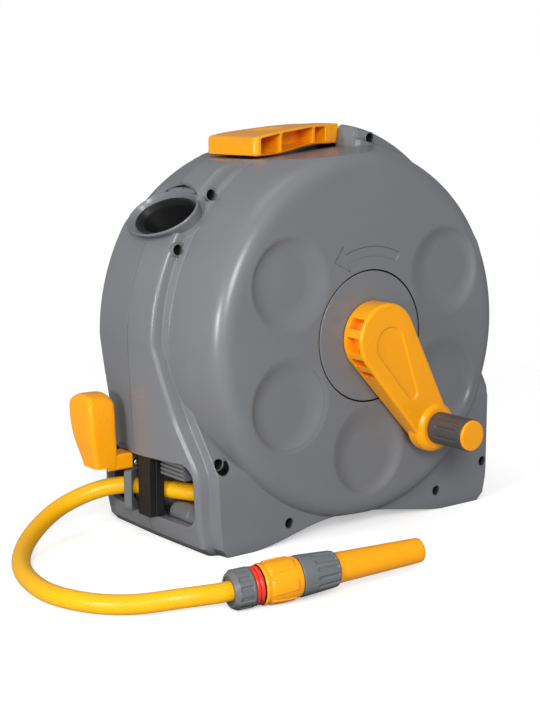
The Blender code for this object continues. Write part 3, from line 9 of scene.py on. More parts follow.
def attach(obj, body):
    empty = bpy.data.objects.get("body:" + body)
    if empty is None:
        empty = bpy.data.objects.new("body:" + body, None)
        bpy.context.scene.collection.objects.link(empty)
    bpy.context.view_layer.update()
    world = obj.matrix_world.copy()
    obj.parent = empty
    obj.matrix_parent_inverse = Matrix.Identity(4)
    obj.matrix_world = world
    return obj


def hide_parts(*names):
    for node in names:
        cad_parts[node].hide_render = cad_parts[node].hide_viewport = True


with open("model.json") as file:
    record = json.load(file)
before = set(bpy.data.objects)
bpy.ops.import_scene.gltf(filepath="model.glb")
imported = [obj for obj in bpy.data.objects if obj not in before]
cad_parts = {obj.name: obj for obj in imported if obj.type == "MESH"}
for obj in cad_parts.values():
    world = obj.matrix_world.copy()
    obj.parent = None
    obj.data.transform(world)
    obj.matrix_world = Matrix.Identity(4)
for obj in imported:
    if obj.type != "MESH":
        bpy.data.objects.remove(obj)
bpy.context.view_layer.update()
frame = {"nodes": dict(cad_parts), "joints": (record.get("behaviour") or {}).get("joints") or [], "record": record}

joints = {joint["name"]: joint for joint in frame["joints"]}
axle = np.array(joints["drum_turn"]["pos_m"])
seam = axle - (0, 0, 0.2)      # ground point below the axle, in the plane where the casing's halves meet
scene = bpy.context.scene


# Camera
camera = {"place": (-0.9377, -1.1653, 0.4255), "turn": 37.66, "down": 10.07, "lens": 71.91}


def makeCamera(c):
    turn, down = math.radians(c["turn"]), math.radians(c["down"])
    ahead = Vector((math.sin(turn) * math.cos(down), math.cos(turn) * math.cos(down), -math.sin(down)))
    data = bpy.data.cameras.new("camera")
    data.sensor_width = 36
    data.lens = c["lens"]
    data.clip_end = 20
    eye = bpy.data.objects.new("camera", data)
    eye.location = Vector(seam) + Vector(c["place"])
    eye.rotation_euler = ahead.to_track_quat("-Z", "Y").to_euler()
    scene.collection.objects.link(eye)
    scene.camera = eye


makeCamera(camera)
scene.view_settings.view_transform = "Standard"
print("camera set")


# Small tools for node trees: an input takes a link where it is given a socket, else a plain value
def feed(tree, node, inputs):
    for key, value in inputs.items():
        if isinstance(value, bpy.types.NodeSocket):
            tree.links.new(value, node.inputs[key])
        else:
            node.inputs[key].default_value = value


def newNode(tree, kind, inputs=None, **settings):
    made = tree.nodes.new(kind)
    for key, value in settings.items():
        setattr(made, key, value)
    feed(tree, made, inputs or {})
    return made


def maths(tree, operation, *values, clamp=False):
    return newNode(tree, "ShaderNodeMath", dict(enumerate(values)), operation=operation, use_clamp=clamp).outputs[0]


def mixColour(tree, share, a, b):
    return newNode(tree, "ShaderNodeMix", {0: share, 6: a, 7: b}, data_type="RGBA").outputs[2]


def ranged(tree, value, low, high, start=0.0, end=1.0):
    return newNode(tree, "ShaderNodeMapRange", {"Value": value, "From Min": low, "From Max": high,
                                                "To Min": start, "To Max": end}).outputs[0]


def noise(tree, scale, detail, roughness=0.5, place=None):
    place = place or newNode(tree, "ShaderNodeTexCoord").outputs["Object"]
    return newNode(tree, "ShaderNodeTexNoise", {"Vector": place, "Scale": scale, "Detail": detail,
                                                "Roughness": roughness}).outputs["Fac"]


def newGroup(name, inputs, outputs):
    tree = bpy.data.node_groups.new(name, "ShaderNodeTree")
    for label, value in inputs.items():
        tree.interface.new_socket(name=label, in_out="INPUT", socket_type="NodeSocketFloat").default_value = value
    for label in outputs:
        kind = "NodeSocketVector" if label == "Normal" else "NodeSocketFloat"
        tree.interface.new_socket(name=label, in_out="OUTPUT", socket_type=kind)
    return tree, tree.nodes.new("NodeGroupInput").outputs, tree.nodes.new("NodeGroupOutput")


def useGroup(tree, group, inputs):
    return newNode(tree, "ShaderNodeGroup", inputs, node_tree=group).outputs


# Moulded grain: fine speckle, slow swell of the wall and faint rubbed clouds
def makeGrainGroup():
    tree, start, end = newGroup("mouldedGrain", {"Grain Size": 900.0, "Cloud Size": 14.0},
                                ("Speckle", "Cloud", "Swell"))
    feed(tree, end, {"Speckle": noise(tree, start["Grain Size"], 2.0, 0.6),
                     "Cloud": noise(tree, start["Cloud Size"], 4.0, 0.62), "Swell": noise(tree, 6.0, 1.0)})
    return tree


# Edge wear: how far a rounded normal leans from the face's own, broken up by noise
def makeWearGroup():
    tree, start, end = newGroup("edgeWear", {"Radius": 0.001, "Amount": 1.0}, ("Worn", "Normal"))
    rounded = newNode(tree, "ShaderNodeBevel", {"Radius": start["Radius"]}, samples=6).outputs[0]
    flat = newNode(tree, "ShaderNodeNewGeometry").outputs["Normal"]
    lean = newNode(tree, "ShaderNodeVectorMath", {0: rounded, 1: flat}, operation="DOT_PRODUCT").outputs["Value"]
    patch = ranged(tree, noise(tree, 110.0, 5.0, 0.7), 0.48, 0.68)
    worn = maths(tree, "MULTIPLY", ranged(tree, lean, 0.995, 0.88), patch)
    feed(tree, end, {"Worn": maths(tree, "MULTIPLY", worn, start["Amount"], clamp=True), "Normal": rounded})
    return tree


# Dust: settles on faces that look up, in clouds
def makeDustGroup():
    tree, start, end = newGroup("settledDust", {"Amount": 0.1}, ("Dust",))
    facing = newNode(tree, "ShaderNodeSeparateXYZ", {0: newNode(tree, "ShaderNodeNewGeometry").outputs["Normal"]})
    patch = ranged(tree, noise(tree, 38.0, 7.0, 0.72), 0.42, 0.7)
    dust = maths(tree, "MULTIPLY", ranged(tree, facing.outputs["Z"], 0.2, 1.0), patch)
    feed(tree, end, {"Dust": maths(tree, "MULTIPLY", dust, start["Amount"], clamp=True)})
    return tree


# Scuffs: thin scratches in two directions, sparse
def makeScuffGroup():
    tree, start, end = newGroup("fineScuffs", {"Amount": 0.3}, ("Scuff",))
    place = newNode(tree, "ShaderNodeTexCoord").outputs["Object"]
    lines = []
    for turn, stretch in (((0.4, 0.3, 0.9), (9, 260, 260)), ((1.2, 0.8, -0.6), (240, 240, 8))):
        turned = newNode(tree, "ShaderNodeMapping", {"Vector": place, "Rotation": turn, "Scale": stretch}).outputs[0]
        lines.append(ranged(tree, noise(tree, 1.0, 1.0, place=turned), 0.70, 0.78))
    both = maths(tree, "MAXIMUM", *lines)
    feed(tree, end, {"Scuff": maths(tree, "MULTIPLY", both, start["Amount"], clamp=True)})
    return tree


grainGroup, wearGroup, dustGroup, scuffGroup = makeGrainGroup(), makeWearGroup(), makeDustGroup(), makeScuffGroup()


def newMaterial(name):
    material = bpy.data.materials.new(name)
    material.use_nodes = True
    return material, material.node_tree, material.node_tree.nodes["Principled BSDF"]


# What a plastic has where its finish below says nothing else
plainPlastic = {"grainSize": 900.0, "cloudSize": 14.0, "cloudShade": 0.9, "edge": 0.0008, "wear": 0.4,
                "wornShade": 1.35, "wornAdd": 0.01, "fleck": 0.08, "dust": 0.1, "dustColour": (0.42, 0.40, 0.36),
                # hollow and hollow reach: colour and distance of the painted shade in hollows
                "scuff": 0.3, "hollow": (0.012, 0.012, 0.012), "paintedShadeReach": 0.03, "roughSpread": 0.05,
                "swell": 3.0, "bump": 0.35, "bumpHigh": 0.00006, "shine": 0.5, "glow": 0.0, "coat": 0.0}


# Moulded plastic: colour with clouds, wear, dust and painted shade in its hollows, roughness with clouds and scuffs,
# and a fine bump over rounded edges
def mouldedPlastic(name, own):
    p = plainPlastic | own
    material, tree, shader = newMaterial(name)
    grain = useGroup(tree, grainGroup, {"Grain Size": p["grainSize"], "Cloud Size": p["cloudSize"]})
    wear = useGroup(tree, wearGroup, {"Radius": p["edge"], "Amount": p["wear"]})
    dust = useGroup(tree, dustGroup, {"Amount": p["dust"]})["Dust"]
    scuff = useGroup(tree, scuffGroup, {"Amount": p["scuff"]})["Scuff"]
    colour, darker = (*p["colour"], 1), (*(c * p["cloudShade"] for c in p["colour"]), 1)
    worn = (*(min(1, c * p["wornShade"] + p["wornAdd"]) for c in p["colour"]), 1)
    tint = mixColour(tree, ranged(tree, grain["Cloud"], 0.35, 0.65), darker, colour)
    tint = mixColour(tree, ranged(tree, grain["Speckle"], 0.3, 0.7, 0.0, p["fleck"]), tint, worn)
    tint = mixColour(tree, wear["Worn"], tint, worn)
    tint = mixColour(tree, dust, tint, (*p["dustColour"], 1))
    # painted shade: ambient occlusion darkens hollows, corners, holes and gaps towards the hollow colour
    unshaded = newNode(tree, "ShaderNodeAmbientOcclusion", {"Distance": p["paintedShadeReach"]}, samples=8).outputs["AO"]
    tint = mixColour(tree, ranged(tree, unshaded, 0.12, 0.62), (*p["hollow"], 1), tint)
    rough = ranged(tree, grain["Cloud"], 0.3, 0.7, p["rough"] - p["roughSpread"], p["rough"] + p["roughSpread"])
    rough = maths(tree, "MULTIPLY_ADD", scuff, 0.18, rough)
    rough = maths(tree, "MULTIPLY_ADD", dust, 0.3, rough, clamp=True)
    height = maths(tree, "MULTIPLY_ADD", grain["Swell"], p["swell"], grain["Speckle"])
    height = maths(tree, "MULTIPLY_ADD", scuff, -0.5, height)
    bump = newNode(tree, "ShaderNodeBump", {"Strength": p["bump"], "Distance": p["bumpHigh"], "Height": height,
                                            "Normal": wear["Normal"]}).outputs[0]
    feed(tree, shader, {"Base Color": tint, "Roughness": rough, "Normal": bump, "Specular IOR Level": p["shine"],
                        "Subsurface Weight": p["glow"], "Subsurface Radius": (0.004, 0.002, 0.001),
                        "Subsurface Scale": 1.0, "Coat Weight": p["coat"], "Coat Roughness": 0.25})
    return material


# Zinc-plated steel: slight tarnish in clouds, and a fine speckle in gloss and height
def platedSteel(name, p):
    material, tree, shader = newMaterial(name)
    grain = useGroup(tree, grainGroup, {"Grain Size": 2600.0, "Cloud Size": 160.0})
    wear = useGroup(tree, wearGroup, {"Radius": 0.0003, "Amount": 0.3})
    tint = mixColour(tree, grain["Cloud"], (*p["colour"], 1), (*p["tarnish"], 1))
    rough = maths(tree, "MULTIPLY_ADD", grain["Speckle"], 0.3, p["rough"] - 0.15)
    bump = newNode(tree, "ShaderNodeBump", {"Strength": 0.4, "Distance": 0.00004, "Height": grain["Speckle"],
                                            "Normal": wear["Normal"]}).outputs[0]
    feed(tree, shader, {"Base Color": tint, "Roughness": rough, "Normal": bump, "Metallic": 1.0})
    return material


# Braided hose: crossed threads under a clear skin, worked out on the tube's own UV map in metres and turns
def braidedHose(name, p):
    material, tree, shader = newMaterial(name)
    grain = useGroup(tree, grainGroup, {"Grain Size": 700.0, "Cloud Size": 22.0})
    scuff = useGroup(tree, scuffGroup, {"Amount": 0.25})["Scuff"]
    along = newNode(tree, "ShaderNodeSeparateXYZ", {0: newNode(tree, "ShaderNodeUVMap", uv_map="hoseMap").outputs[0]})
    threads = []
    for hand in (1, -1):
        wave = maths(tree, "MULTIPLY", along.outputs["X"], math.tau / p["pitch"])
        wave = maths(tree, "MULTIPLY_ADD", along.outputs["Y"], hand * math.tau * p["threads"], wave)
        threads.append(ranged(tree, maths(tree, "SINE", wave), 0.35, 0.95))
    braid = maths(tree, "MAXIMUM", *threads)
    tint = mixColour(tree, ranged(tree, grain["Cloud"], 0.35, 0.65), (*p["deep"], 1), (*p["colour"], 1))
    tint = mixColour(tree, maths(tree, "MULTIPLY", braid, p["show"]), tint, (*p["thread"], 1))
    rough = maths(tree, "MULTIPLY_ADD", scuff, 0.25, p["rough"])
    height = maths(tree, "MULTIPLY_ADD", grain["Speckle"], 0.25, braid)
    bump = newNode(tree, "ShaderNodeBump", {"Strength": 0.35, "Distance": 0.00016, "Height": height}).outputs[0]
    feed(tree, shader, {"Base Color": tint, "Roughness": rough, "Normal": bump, "Specular IOR Level": 0.35,
                        "Subsurface Weight": 0.12, "Subsurface Radius": (0.004, 0.002, 0.0006),
                        "Subsurface Scale": 1.0})
    return material


finishes = {
    "casing": mouldedPlastic("satinGrey", {
        "colour": (0.180, 0.186, 0.199), "rough": 0.30, "dust": 0.04, "edge": 0.0016, "wear": 0.2, "scuff": 0.15,
        "bump": 0.28, "swell": 1.2, "roughSpread": 0.03, "cloudShade": 0.95}),
    "accent": mouldedPlastic("brightOrange", {
        "colour": (1.0, 0.39, 0.003), "rough": 0.30, "dust": 0.0, "glow": 0.1, "shine": 0.42, "scuff": 0.1,
        # hollow: painted shade, the orange parts' hollows and pockets darken to a deep red
        "hollow": (0.80, 0.09, 0.01), "paintedShadeReach": 0.012, "edge": 0.0009, "wear": 0.15, "cloudShade": 0.95,
        "wornAdd": 0.0, "wornShade": 1.1, "fleck": 0.04}),
    "dark": mouldedPlastic("satinBlack", {
        "colour": (0.013, 0.013, 0.0135), "rough": 0.42, "dust": 0.02, "shine": 0.3, "wear": 0.15}),
    "arrow": mouldedPlastic("arrowGrey", {
        "colour": (0.140, 0.145, 0.155), "rough": 0.46, "dust": 0.04, "wear": 0.2, "scuff": 0.1, "bump": 0.9}),
    "grip": mouldedPlastic("gripGrey", {
        "colour": (0.072, 0.067, 0.070), "rough": 0.5, "dust": 0.06, "edge": 0.0005, "bump": 0.5}),
    "hose": braidedHose("braidedHose", {
        "colour": (0.94, 0.50, 0.005), "deep": (0.92, 0.465, 0.004), "thread": (0.80, 0.34, 0.004), "rough": 0.30,
        "pitch": 0.0062, "threads": 16, "show": 0.28}),
    "ring": mouldedPlastic("signalRed", {
        "colour": (0.83, 0.035, 0.018), "rough": 0.33, "dust": 0.03, "glow": 0.1, "edge": 0.0005, "wear": 0.1}),
    "fitting": mouldedPlastic("fittingGrey", {
        "colour": (0.145, 0.155, 0.165), "rough": 0.42, "dust": 0.06, "edge": 0.0006, "wear": 0.25}),
    "steel": platedSteel("platedSteel", {"colour": (0.68, 0.68, 0.67), "tarnish": (0.50, 0.49, 0.47), "rough": 0.32}),
    "rubber": mouldedPlastic("sealRubber", {
        "colour": (0.018, 0.018, 0.018), "rough": 0.75, "dust": 0.15, "edge": 0.0004}),
}
print("finishes made")


# Sharp edges by angle, and flat faces kept flat where they meet round ones
def dress(piece, finish, body, replaced=(), angle=32, weighted=True):
    mesh = piece.data
    mesh.materials.clear()
    mesh.materials.append(finishes[finish])
    mesh.shade_smooth()
    mesh.set_sharp_from_angle(angle=math.radians(angle))
    if weighted:
        even = piece.modifiers.new("Even", "WEIGHTED_NORMAL")
        even.keep_sharp = True
    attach(piece, body)
    if replaced:
        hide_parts(*replaced)
    return piece


def newPiece(name, points, faces, uv=None):
    mesh = bpy.data.meshes.new(name)
    mesh.from_pydata((np.asarray(points, float) + seam).tolist(), [], [list(map(int, f)) for f in faces])
    if uv is not None:
        layer = mesh.uv_layers.new(name="hoseMap")
        layer.data.foreach_set("uv", np.asarray(uv, float).ravel())
    mesh.validate()
    piece = bpy.data.objects.new(name, mesh)
    scene.collection.objects.link(piece)
    return piece


# Quads of a grid of rows by columns, closed round its columns if told
def gridFaces(rows, columns, closed=True, closedRows=False):
    number = np.arange(rows * columns).reshape(rows, columns)
    down = np.roll(number, -1, axis=0) if closedRows else number
    first, second = (number, down) if closedRows else (number[:-1], number[1:])
    if closed:
        quads = np.stack([first, np.roll(first, -1, axis=1), np.roll(second, -1, axis=1), second], axis=-1)
    else:
        quads = np.stack([first[:, :-1], first[:, 1:], second[:, 1:], second[:, :-1]], axis=-1)
    return quads.reshape(-1, 4)


# Closed body through rings (rings, points, 3): the sides are a grid, the end rings are closed by one face each
def ringBody(name, rings):
    rings = np.asarray(rings, float)
    rows, columns = rings.shape[:2]
    faces = gridFaces(rows, columns).tolist()
    faces += [list(range(columns))[::-1], list(range((rows - 1) * columns, rows * columns))]
    piece = newPiece(name, rings.reshape(-1, 3), faces)
    return pointOutwards(piece)


# Straight body: a flat outline (u, v) at each of the places along one axis, 0 for X, 1 for Y and 2 for Z
def prism(name, outline, axis, places):
    return ringBody(name, [np.insert(np.asarray(outline, float), axis, at, axis=1) for at in places])


# Doubled points merged and faces turned outwards
def pointOutwards(piece):
    bm = bmesh.new()
    bm.from_mesh(piece.data)
    bmesh.ops.remove_doubles(bm, verts=bm.verts, dist=1e-6)
    bmesh.ops.recalc_face_normals(bm, faces=bm.faces)
    bm.to_mesh(piece.data)
    bm.free()
    return piece


# Turned body: a profile (radius, height) carried round an axis, its radius changed by relief(height, angle)
def turnedBody(name, profile, place, steps=96, relief=None):
    profile = np.asarray(profile, float)
    closed = profile[0, 0] > 0 and profile[-1, 0] > 0
    angle = np.arange(steps) * math.tau / steps
    radius, height = np.meshgrid(profile[:, 0], angle, indexing="ij")[0], np.repeat(profile[:, 1:2], steps, axis=1)
    turn = np.repeat(angle[None], len(profile), axis=0)
    if relief is not None:
        radius = radius + relief(height, turn, radius)
    local = np.stack([radius * np.cos(turn), radius * np.sin(turn), height], axis=-1).reshape(-1, 3)
    matrix = np.array(place)
    points = local @ matrix[:3, :3].T + matrix[:3, 3]
    faces = gridFaces(len(profile), steps, closedRows=closed)
    return pointOutwards(newPiece(name, points, faces))


# Corners of a broken line made round: each is replaced by an arc-like curve that starts a radius before it
def roundCorners(points, radii, steps=5):
    points = np.asarray(points, float)
    made = [points[0]]
    for before, corner, after, radius in zip(points, points[1:], points[2:], radii):
        back, ahead = before - corner, after - corner
        reach = min(radius, 0.49 * np.linalg.norm(back), 0.49 * np.linalg.norm(ahead))
        if reach < 1e-5:
            made.append(corner)
            continue
        a = corner + back / np.linalg.norm(back) * reach
        b = corner + ahead / np.linalg.norm(ahead) * reach
        t = np.linspace(0, 1, steps + 1)[:, None]
        pull = 2 * t * (1 - t) * 0.7071           # at a right angle this gives a quarter circle
        made.extend(((1 - t) ** 2 * a + t ** 2 * b + pull * corner) / ((1 - t) ** 2 + t ** 2 + pull))
    made.append(points[-1])
    return np.array(made)


# Booleans laid on a piece, worked in later by settled
def joined(target, tools, operation="DIFFERENCE"):
    for tool in tools if isinstance(tools, (list, tuple)) else [tools]:
        step = target.modifiers.new(operation, "BOOLEAN")
        step.operation = operation
        step.solver = "MANIFOLD"
        step.object = tool
        tool.hide_render = True
    return target


# The finished mesh of a piece with its booleans worked in, and its tools removed
def settled(piece):
    bpy.context.view_layer.update()
    seen = piece.evaluated_get(bpy.context.evaluated_depsgraph_get())
    mesh = bpy.data.meshes.new_from_object(seen)
    tools = [step.object for step in piece.modifiers if step.type == "BOOLEAN"]
    piece.modifiers.clear()
    piece.data = mesh
    for tool in tools:
        bpy.data.objects.remove(tool)
    return piece


def blockBody(name, low, high):
    (a, b, c), (d, e, f) = low, high
    return prism(name, [(a, b), (d, b), (d, e), (a, e)], 2, (c, f))


# Place at a point, with its own Z turned to a direction
def aimed(place, direction):
    turn = Vector((0, 0, 1)).rotation_difference(Vector(direction))
    return Matrix.Translation(place) @ turn.to_matrix().to_4x4()


def rodBody(name, radius, start, end, steps=48):
    start, end = Vector(start), Vector(end)
    long = (end - start).length
    return turnedBody(name, [(0, 0), (radius, 0), (radius, long), (0, long)], aimed(start, end - start), steps)


# A line evened out several times: half of each inner value and a quarter of both its neighbours
def evened(line, times, first=1):
    for _ in range(times):
        line[first:-1] = 0.25 * line[first - 1:-2] + 0.5 * line[first:-1] + 0.25 * line[first + 1:]
    return line


# Evenly spaced points of a smooth curve through a route, whose end stretches stay straight
def smoothRoute(route, count):
    route = np.array(route)
    t = np.linspace(0, 1, 24, endpoint=False)[:, None]
    fine = [0.5 * (2 * b + (c - a) * t + (2 * a - 5 * b + 4 * c - d) * t ** 2 + (3 * b - a - 3 * c + d) * t ** 3)
            for a, b, c, d in zip(route, route[1:], route[2:], route[3:])]
    fine = np.vstack(fine + [route[-2:-1]])
    reach = np.r_[0, np.cumsum(np.linalg.norm(np.diff(fine, axis=0), axis=1))]
    wanted = np.linspace(0, reach[-1], count)
    inner = np.column_stack([np.interp(wanted, reach, fine[:, k]) for k in range(3)])
    return np.vstack([route[0], inner, route[-1]])


# Round tube along points: a ring stands square to the path at each, and the map holds metres along and turns round
def hoseTube(name, points, radius, steps=48):
    points = np.asarray(points, float)
    ahead = np.gradient(points, axis=0)
    ahead /= np.linalg.norm(ahead, axis=1)[:, None]
    side = np.cross(ahead, (0, 0, 1.0))
    side /= np.linalg.norm(side, axis=1)[:, None]
    up = np.cross(side, ahead)
    angle = np.arange(steps) * math.tau / steps
    rings = (points[:, None] + radius * (np.cos(angle)[None, :, None] * side[:, None]
                                         + np.sin(angle)[None, :, None] * up[:, None]))
    faces = gridFaces(len(points), steps)
    reach = np.r_[0, np.cumsum(np.linalg.norm(np.diff(points, axis=0), axis=1))]
    row, column = faces // steps, faces % steps
    turns = column / steps
    turns = np.where((column == 0) & (turns.max(axis=1, keepdims=True) > 0.6), 1.0, turns)
    uv = np.stack([reach[row], turns], axis=-1).reshape(-1, 2)
    caps = [list(range(steps))[::-1], list(range((len(points) - 1) * steps, len(points) * steps))]
    uv = np.vstack([uv, np.zeros((2 * steps, 2))])
    piece = newPiece(name, rings.reshape(-1, 3), faces.tolist() + caps, uv)
    if (piece.data.polygons[0].normal.dot(Vector(rings[0, 0] - points[0]))) < 0:
        piece.data.flip_normals()
    return piece, reach[-1]


# Hose
hose = {"radius": 0.0087, "eye": (-0.190, 0.022, 0.050), "heading": 117, "eyeStraight": 0.009, "gap": 0.0003,
        "run": ((-0.075, -0.0725, 0.0680), (-0.092, -0.0725, 0.0645), (-0.125, -0.0665, 0.0560),
                (-0.153, -0.0450, 0.0505), (-0.169, -0.0180, 0.0500)),
        "free": ((-0.2130, 0.0435, 0.0470), (-0.2360, 0.0530, 0.0400), (-0.2620, 0.0540, 0.0310),
                 (-0.2900, 0.0420, 0.0215), (-0.3180, 0.0175, 0.0140), (-0.3400, -0.0140, 0.0100),
                 (-0.3540, -0.0480, 0.0090), (-0.3610, -0.0850, 0.0089), (-0.3600, -0.1120, 0.0089),
                 (-0.3520, -0.1370, 0.0089), (-0.3380, -0.1600, 0.0092), (-0.3180, -0.1810, 0.0110),
                 (-0.2900, -0.2030, 0.0160)),
        "nut": (-0.2504, -0.2176, 0.0181), "nutHeading": -12, "nutPitch": 3.2, "nutStraight": 0.008, "inNut": 0.009}


# Place of the fittings at the hose's end: their axis leaves the nut's back in the hose's last direction
def nutMatrix(h):
    return (Matrix.Translation(h["nut"]) @ Matrix.Rotation(math.radians(h["nutHeading"]), 4, "Z")
            @ Matrix.Rotation(math.radians(90 - h["nutPitch"]), 4, "Y"))


def makeHose(h):
    eye, nut, turn = np.array(h["eye"]), np.array(h["nut"]), math.radians(h["heading"])
    heading, end = np.array([math.cos(turn), math.sin(turn), 0]), np.array(nutMatrix(h).col[2][:3])
    run = smoothRoute([*h["run"], eye - heading * h["eyeStraight"], eye - heading * h["gap"] / 2], 60)
    inside, _ = hoseTube("hoseInside", run, h["radius"])
    dress(inside, "hose", "casing", ["hose_run"], weighted=False)
    free = smoothRoute([eye + heading * h["gap"] / 2, eye + heading * h["eyeStraight"], *h["free"],
                        nut - end * h["nutStraight"], nut + end * (h["inNut"] - h["gap"])], 150)
    loose, length = hoseTube("hoseLoose", free, h["radius"])
    dress(loose, "hose", "casing", ["hose_free"], weighted=False)
    return loose, free + seam, length


hoseLoose, hosePath, hoseLength = makeHose(hose)
print(f"hose laid, {hoseLength * 1000:.0f} mm")


# Casing
casing = {"radius": 0.197, "depth": 0.113, "axle": 0.200, "wall": 0.003, "gap": 0.0003, "overlap": 0.002,
          "shoulder": ((0.0265, 0.0), (0.0225, 0.0009), (0.0170, 0.0042), (0.0120, 0.0115), (0.0088, 0.024),
                       (0.0045, 0.050), (0.0, 0.090)),     # inset from the radius, setback from the face
          "faceEdge": 0.060,
          "flatTop": (0.1802, 0.0794),                      # above the axle, rise per metre to the right
          "bandRadius": 0.212, "baseDepth": 0.099,
          # height, drop of seam, drop of crest, crest depth, drop of groove, groove depth
          "left": ((0.0, 0.034, 0.036, 0.084, 0.047, 0.099), (0.008, 0.026, 0.028, 0.084, 0.041, 0.099),
                   (0.028, 0.0196, 0.024, 0.084, 0.039, 0.099), (0.080, 0.008, 0.022, 0.083, 0.037, 0.098),
                   (0.092, 0.006, 0.0205, 0.078, 0.0365, 0.090), (0.128, 0.0035, 0.015, 0.058, 0.032, 0.070),
                   (0.171, 0.0015, 0.008, 0.045, 0.0245, 0.055), (0.200, 0.0, 0.004, 0.037, 0.017, 0.046)),
          "right": ((0.0, 0.028, 0.028, 0.084, 0.042, 0.099), (0.008, 0.018, 0.018, 0.084, 0.033, 0.099),
                    (0.028, 0.012, 0.0125, 0.084, 0.029, 0.099), (0.120, 0.002, 0.0125, 0.084, 0.029, 0.099),
                    (0.130, 0.0015, 0.0150, 0.081, 0.033, 0.094), (0.152, 0.001, 0.012, 0.064, 0.031, 0.078),
                    (0.175, 0.001, 0.008, 0.047, 0.025, 0.059), (0.200, 0.0, 0.004, 0.037, 0.017, 0.046)),
          "rearBand": 0.060,                                # least depth of the crest in the rear half
          # how the left band fades: degrees above the horizontal, share of its rise, share of its depth
          "fade": ((0, 1, 1), (52, 1, 1), (55, 0.9, 1), (57, 0.72, 1), (60, 0.25, 1), (62, 0, 1)),
          "rearFade": ((0, 1, 1), (32, 1, 1), (36, 1, 0.90), (40, 1, 0.74), (45, 1, 0.57), (49, 0.9, 0.46),
                       (52, 0.75, 0.38), (55, 0.4, 0.34), (58, 0.1, 0.30), (60, 0, 0.30)),
          # softer shoulder on one side: how much, from and to which depth, middle and half of its span in degrees
          "slack": (0.0065, 0.050, 0.105, 20, 75), "rearSlack": (0.0080, 0.045, 0.105, 130, 75),
          "slackEdge": (28, 0.120, 0.045),                  # degrees and radii over which it fades in
          # blunt end of the right side: degrees before its end, share of its rise, share of its depth
          "rightEnd": 79, "blunt": ((5, 1, 1), (2.5, 0.99, 0.96), (1.2, 0.97, 0.90), (0, 0.85, 0.62)),
          "ridge": 0.0045, "channel": (0.20, 0.80), "root": 0.010, "insetShare": 0.6,
          "arch": (-0.121, 0.118, 0.014), "footHollow": 0.160, "tunnel": (-0.104, 0.092, 0.0045),
          "archLine": ((-0.138, -0.0004), (-0.120, 0.0016), (-0.100, 0.0052), (-0.080, 0.0100), (-0.060, 0.0142),
                       (-0.038, 0.0172), (-0.016, 0.0180), (0.007, 0.0168), (0.030, 0.0138), (0.054, 0.0098),
                       (0.078, 0.0056), (0.100, 0.0020), (0.120, -0.0004)),
          "mouth": {"half": 0.0785, "low": 0.027, "high": 0.089, "corner": 0.016, "lip": 0.004,
                    "face": -0.1885, "inner": -0.1805},
          "pocket": {"x": -0.1694, "z": 0.322, "tilt": 130, "rim": 0.0032, "edge": 0.002,
                     "boss": 0.034, "flare": (0.009, 0.012),
                     "stations": ((0.0, 0.0468, 0.029, 0.0), (0.010, 0.042, 0.022, 0.0025),
                                  (0.056, 0.037, 0.018, 0.003)),
                     # the hole: height over the rim's plane, how much wider all round
                     "hole": ((0.03, 0.016), (0.0022, 0.0046), (0.0021, 0.002), (0.0010, 0.0012), (0.0, 0.0005),
                              (-0.0016, 0), (-0.004, 0), (-0.007, 0), (-0.010, 0), (-0.014, 0), (-0.03, 0),
                              (-0.056, 0))},
          "dimples": {"circle": 0.116, "radius": 0.0457, "floor": 0.033, "shift": 0.007, "deep": 0.005,
                      "at": (30, 150, 210, 270, 330)},
          "arrow": {"radius": 0.084, "width": 0.010, "head": 0.028, "deep": 0.001, "from": 65, "to": 112, "tip": 122},
          "hubHole": 0.0663,
          "screws": ((-0.0906, 0.0209, 0.0975), (0.1085, 0.0209, 0.0975), (0.1774, 0.0427, 0.0975),
                     (-0.168, 0.090, 0.0875), (-0.1795, 0.2905, 0.041), (-0.14086, 0.34086, 0.041),
                     (0.060, 0.3915, 0.041)),
          "bossRadius": 0.0066, "bore": 0.00525, "seat": 0.022,
          "scoop": (0.0085, -0.1665, 0.0885, 0.0878),       # radius, X and Z, how far from the seam it ends
          "slot": (0.022, 0.0665, 0.015, 0.380, 0.396),     # left, right, half width, floor, top of its lining
          "slotStart": 0.0245, "collar": (0.0018, 0.014),
          # only in the rear half: radius, start and end of round forms, and corners of the guide's block
          "well": (0.037, 0.094, 0.0015), "recess": (0.034, 0.097, 0.2), "bushSeat": (0.0163, 0.08, 0.12),
          "guideBlock": ((-0.204, 0.012, 0.089), (-0.1808, 0.032, 0.094)),
          "guideSeat": (0.0048, (-0.190, 0.022, 0.079), (-0.190, 0.022, 0.0923))}
toFront = Matrix.Translation((0, 0, casing["axle"])) @ Matrix.Rotation(math.pi / 2, 4, "X")


# A broken line sampled at even steps, then averaged over a window, so that its corners turn soft; its ends stay
def softened(points, step, window):
    points = np.asarray(points, float)
    reach = np.r_[0, np.cumsum(np.linalg.norm(np.diff(points, axis=0), axis=1))]
    wanted = np.linspace(0, reach[-1], max(2, round(reach[-1] / step) + 1))
    line = np.column_stack([np.interp(wanted, reach, points[:, k]) for k in range(points.shape[1])])
    for _ in range(2):
        padded = np.vstack([np.repeat(line[:1], window, axis=0) * 2 - line[window:0:-1],
                            line, np.repeat(line[-1:], window, axis=0) * 2 - line[-2:-window - 2:-1]])
        kernel = np.ones(2 * window + 1) / (2 * window + 1)
        line = np.column_stack([np.convolve(padded[:, k], kernel, "valid") for k in range(line.shape[1])])
    return line


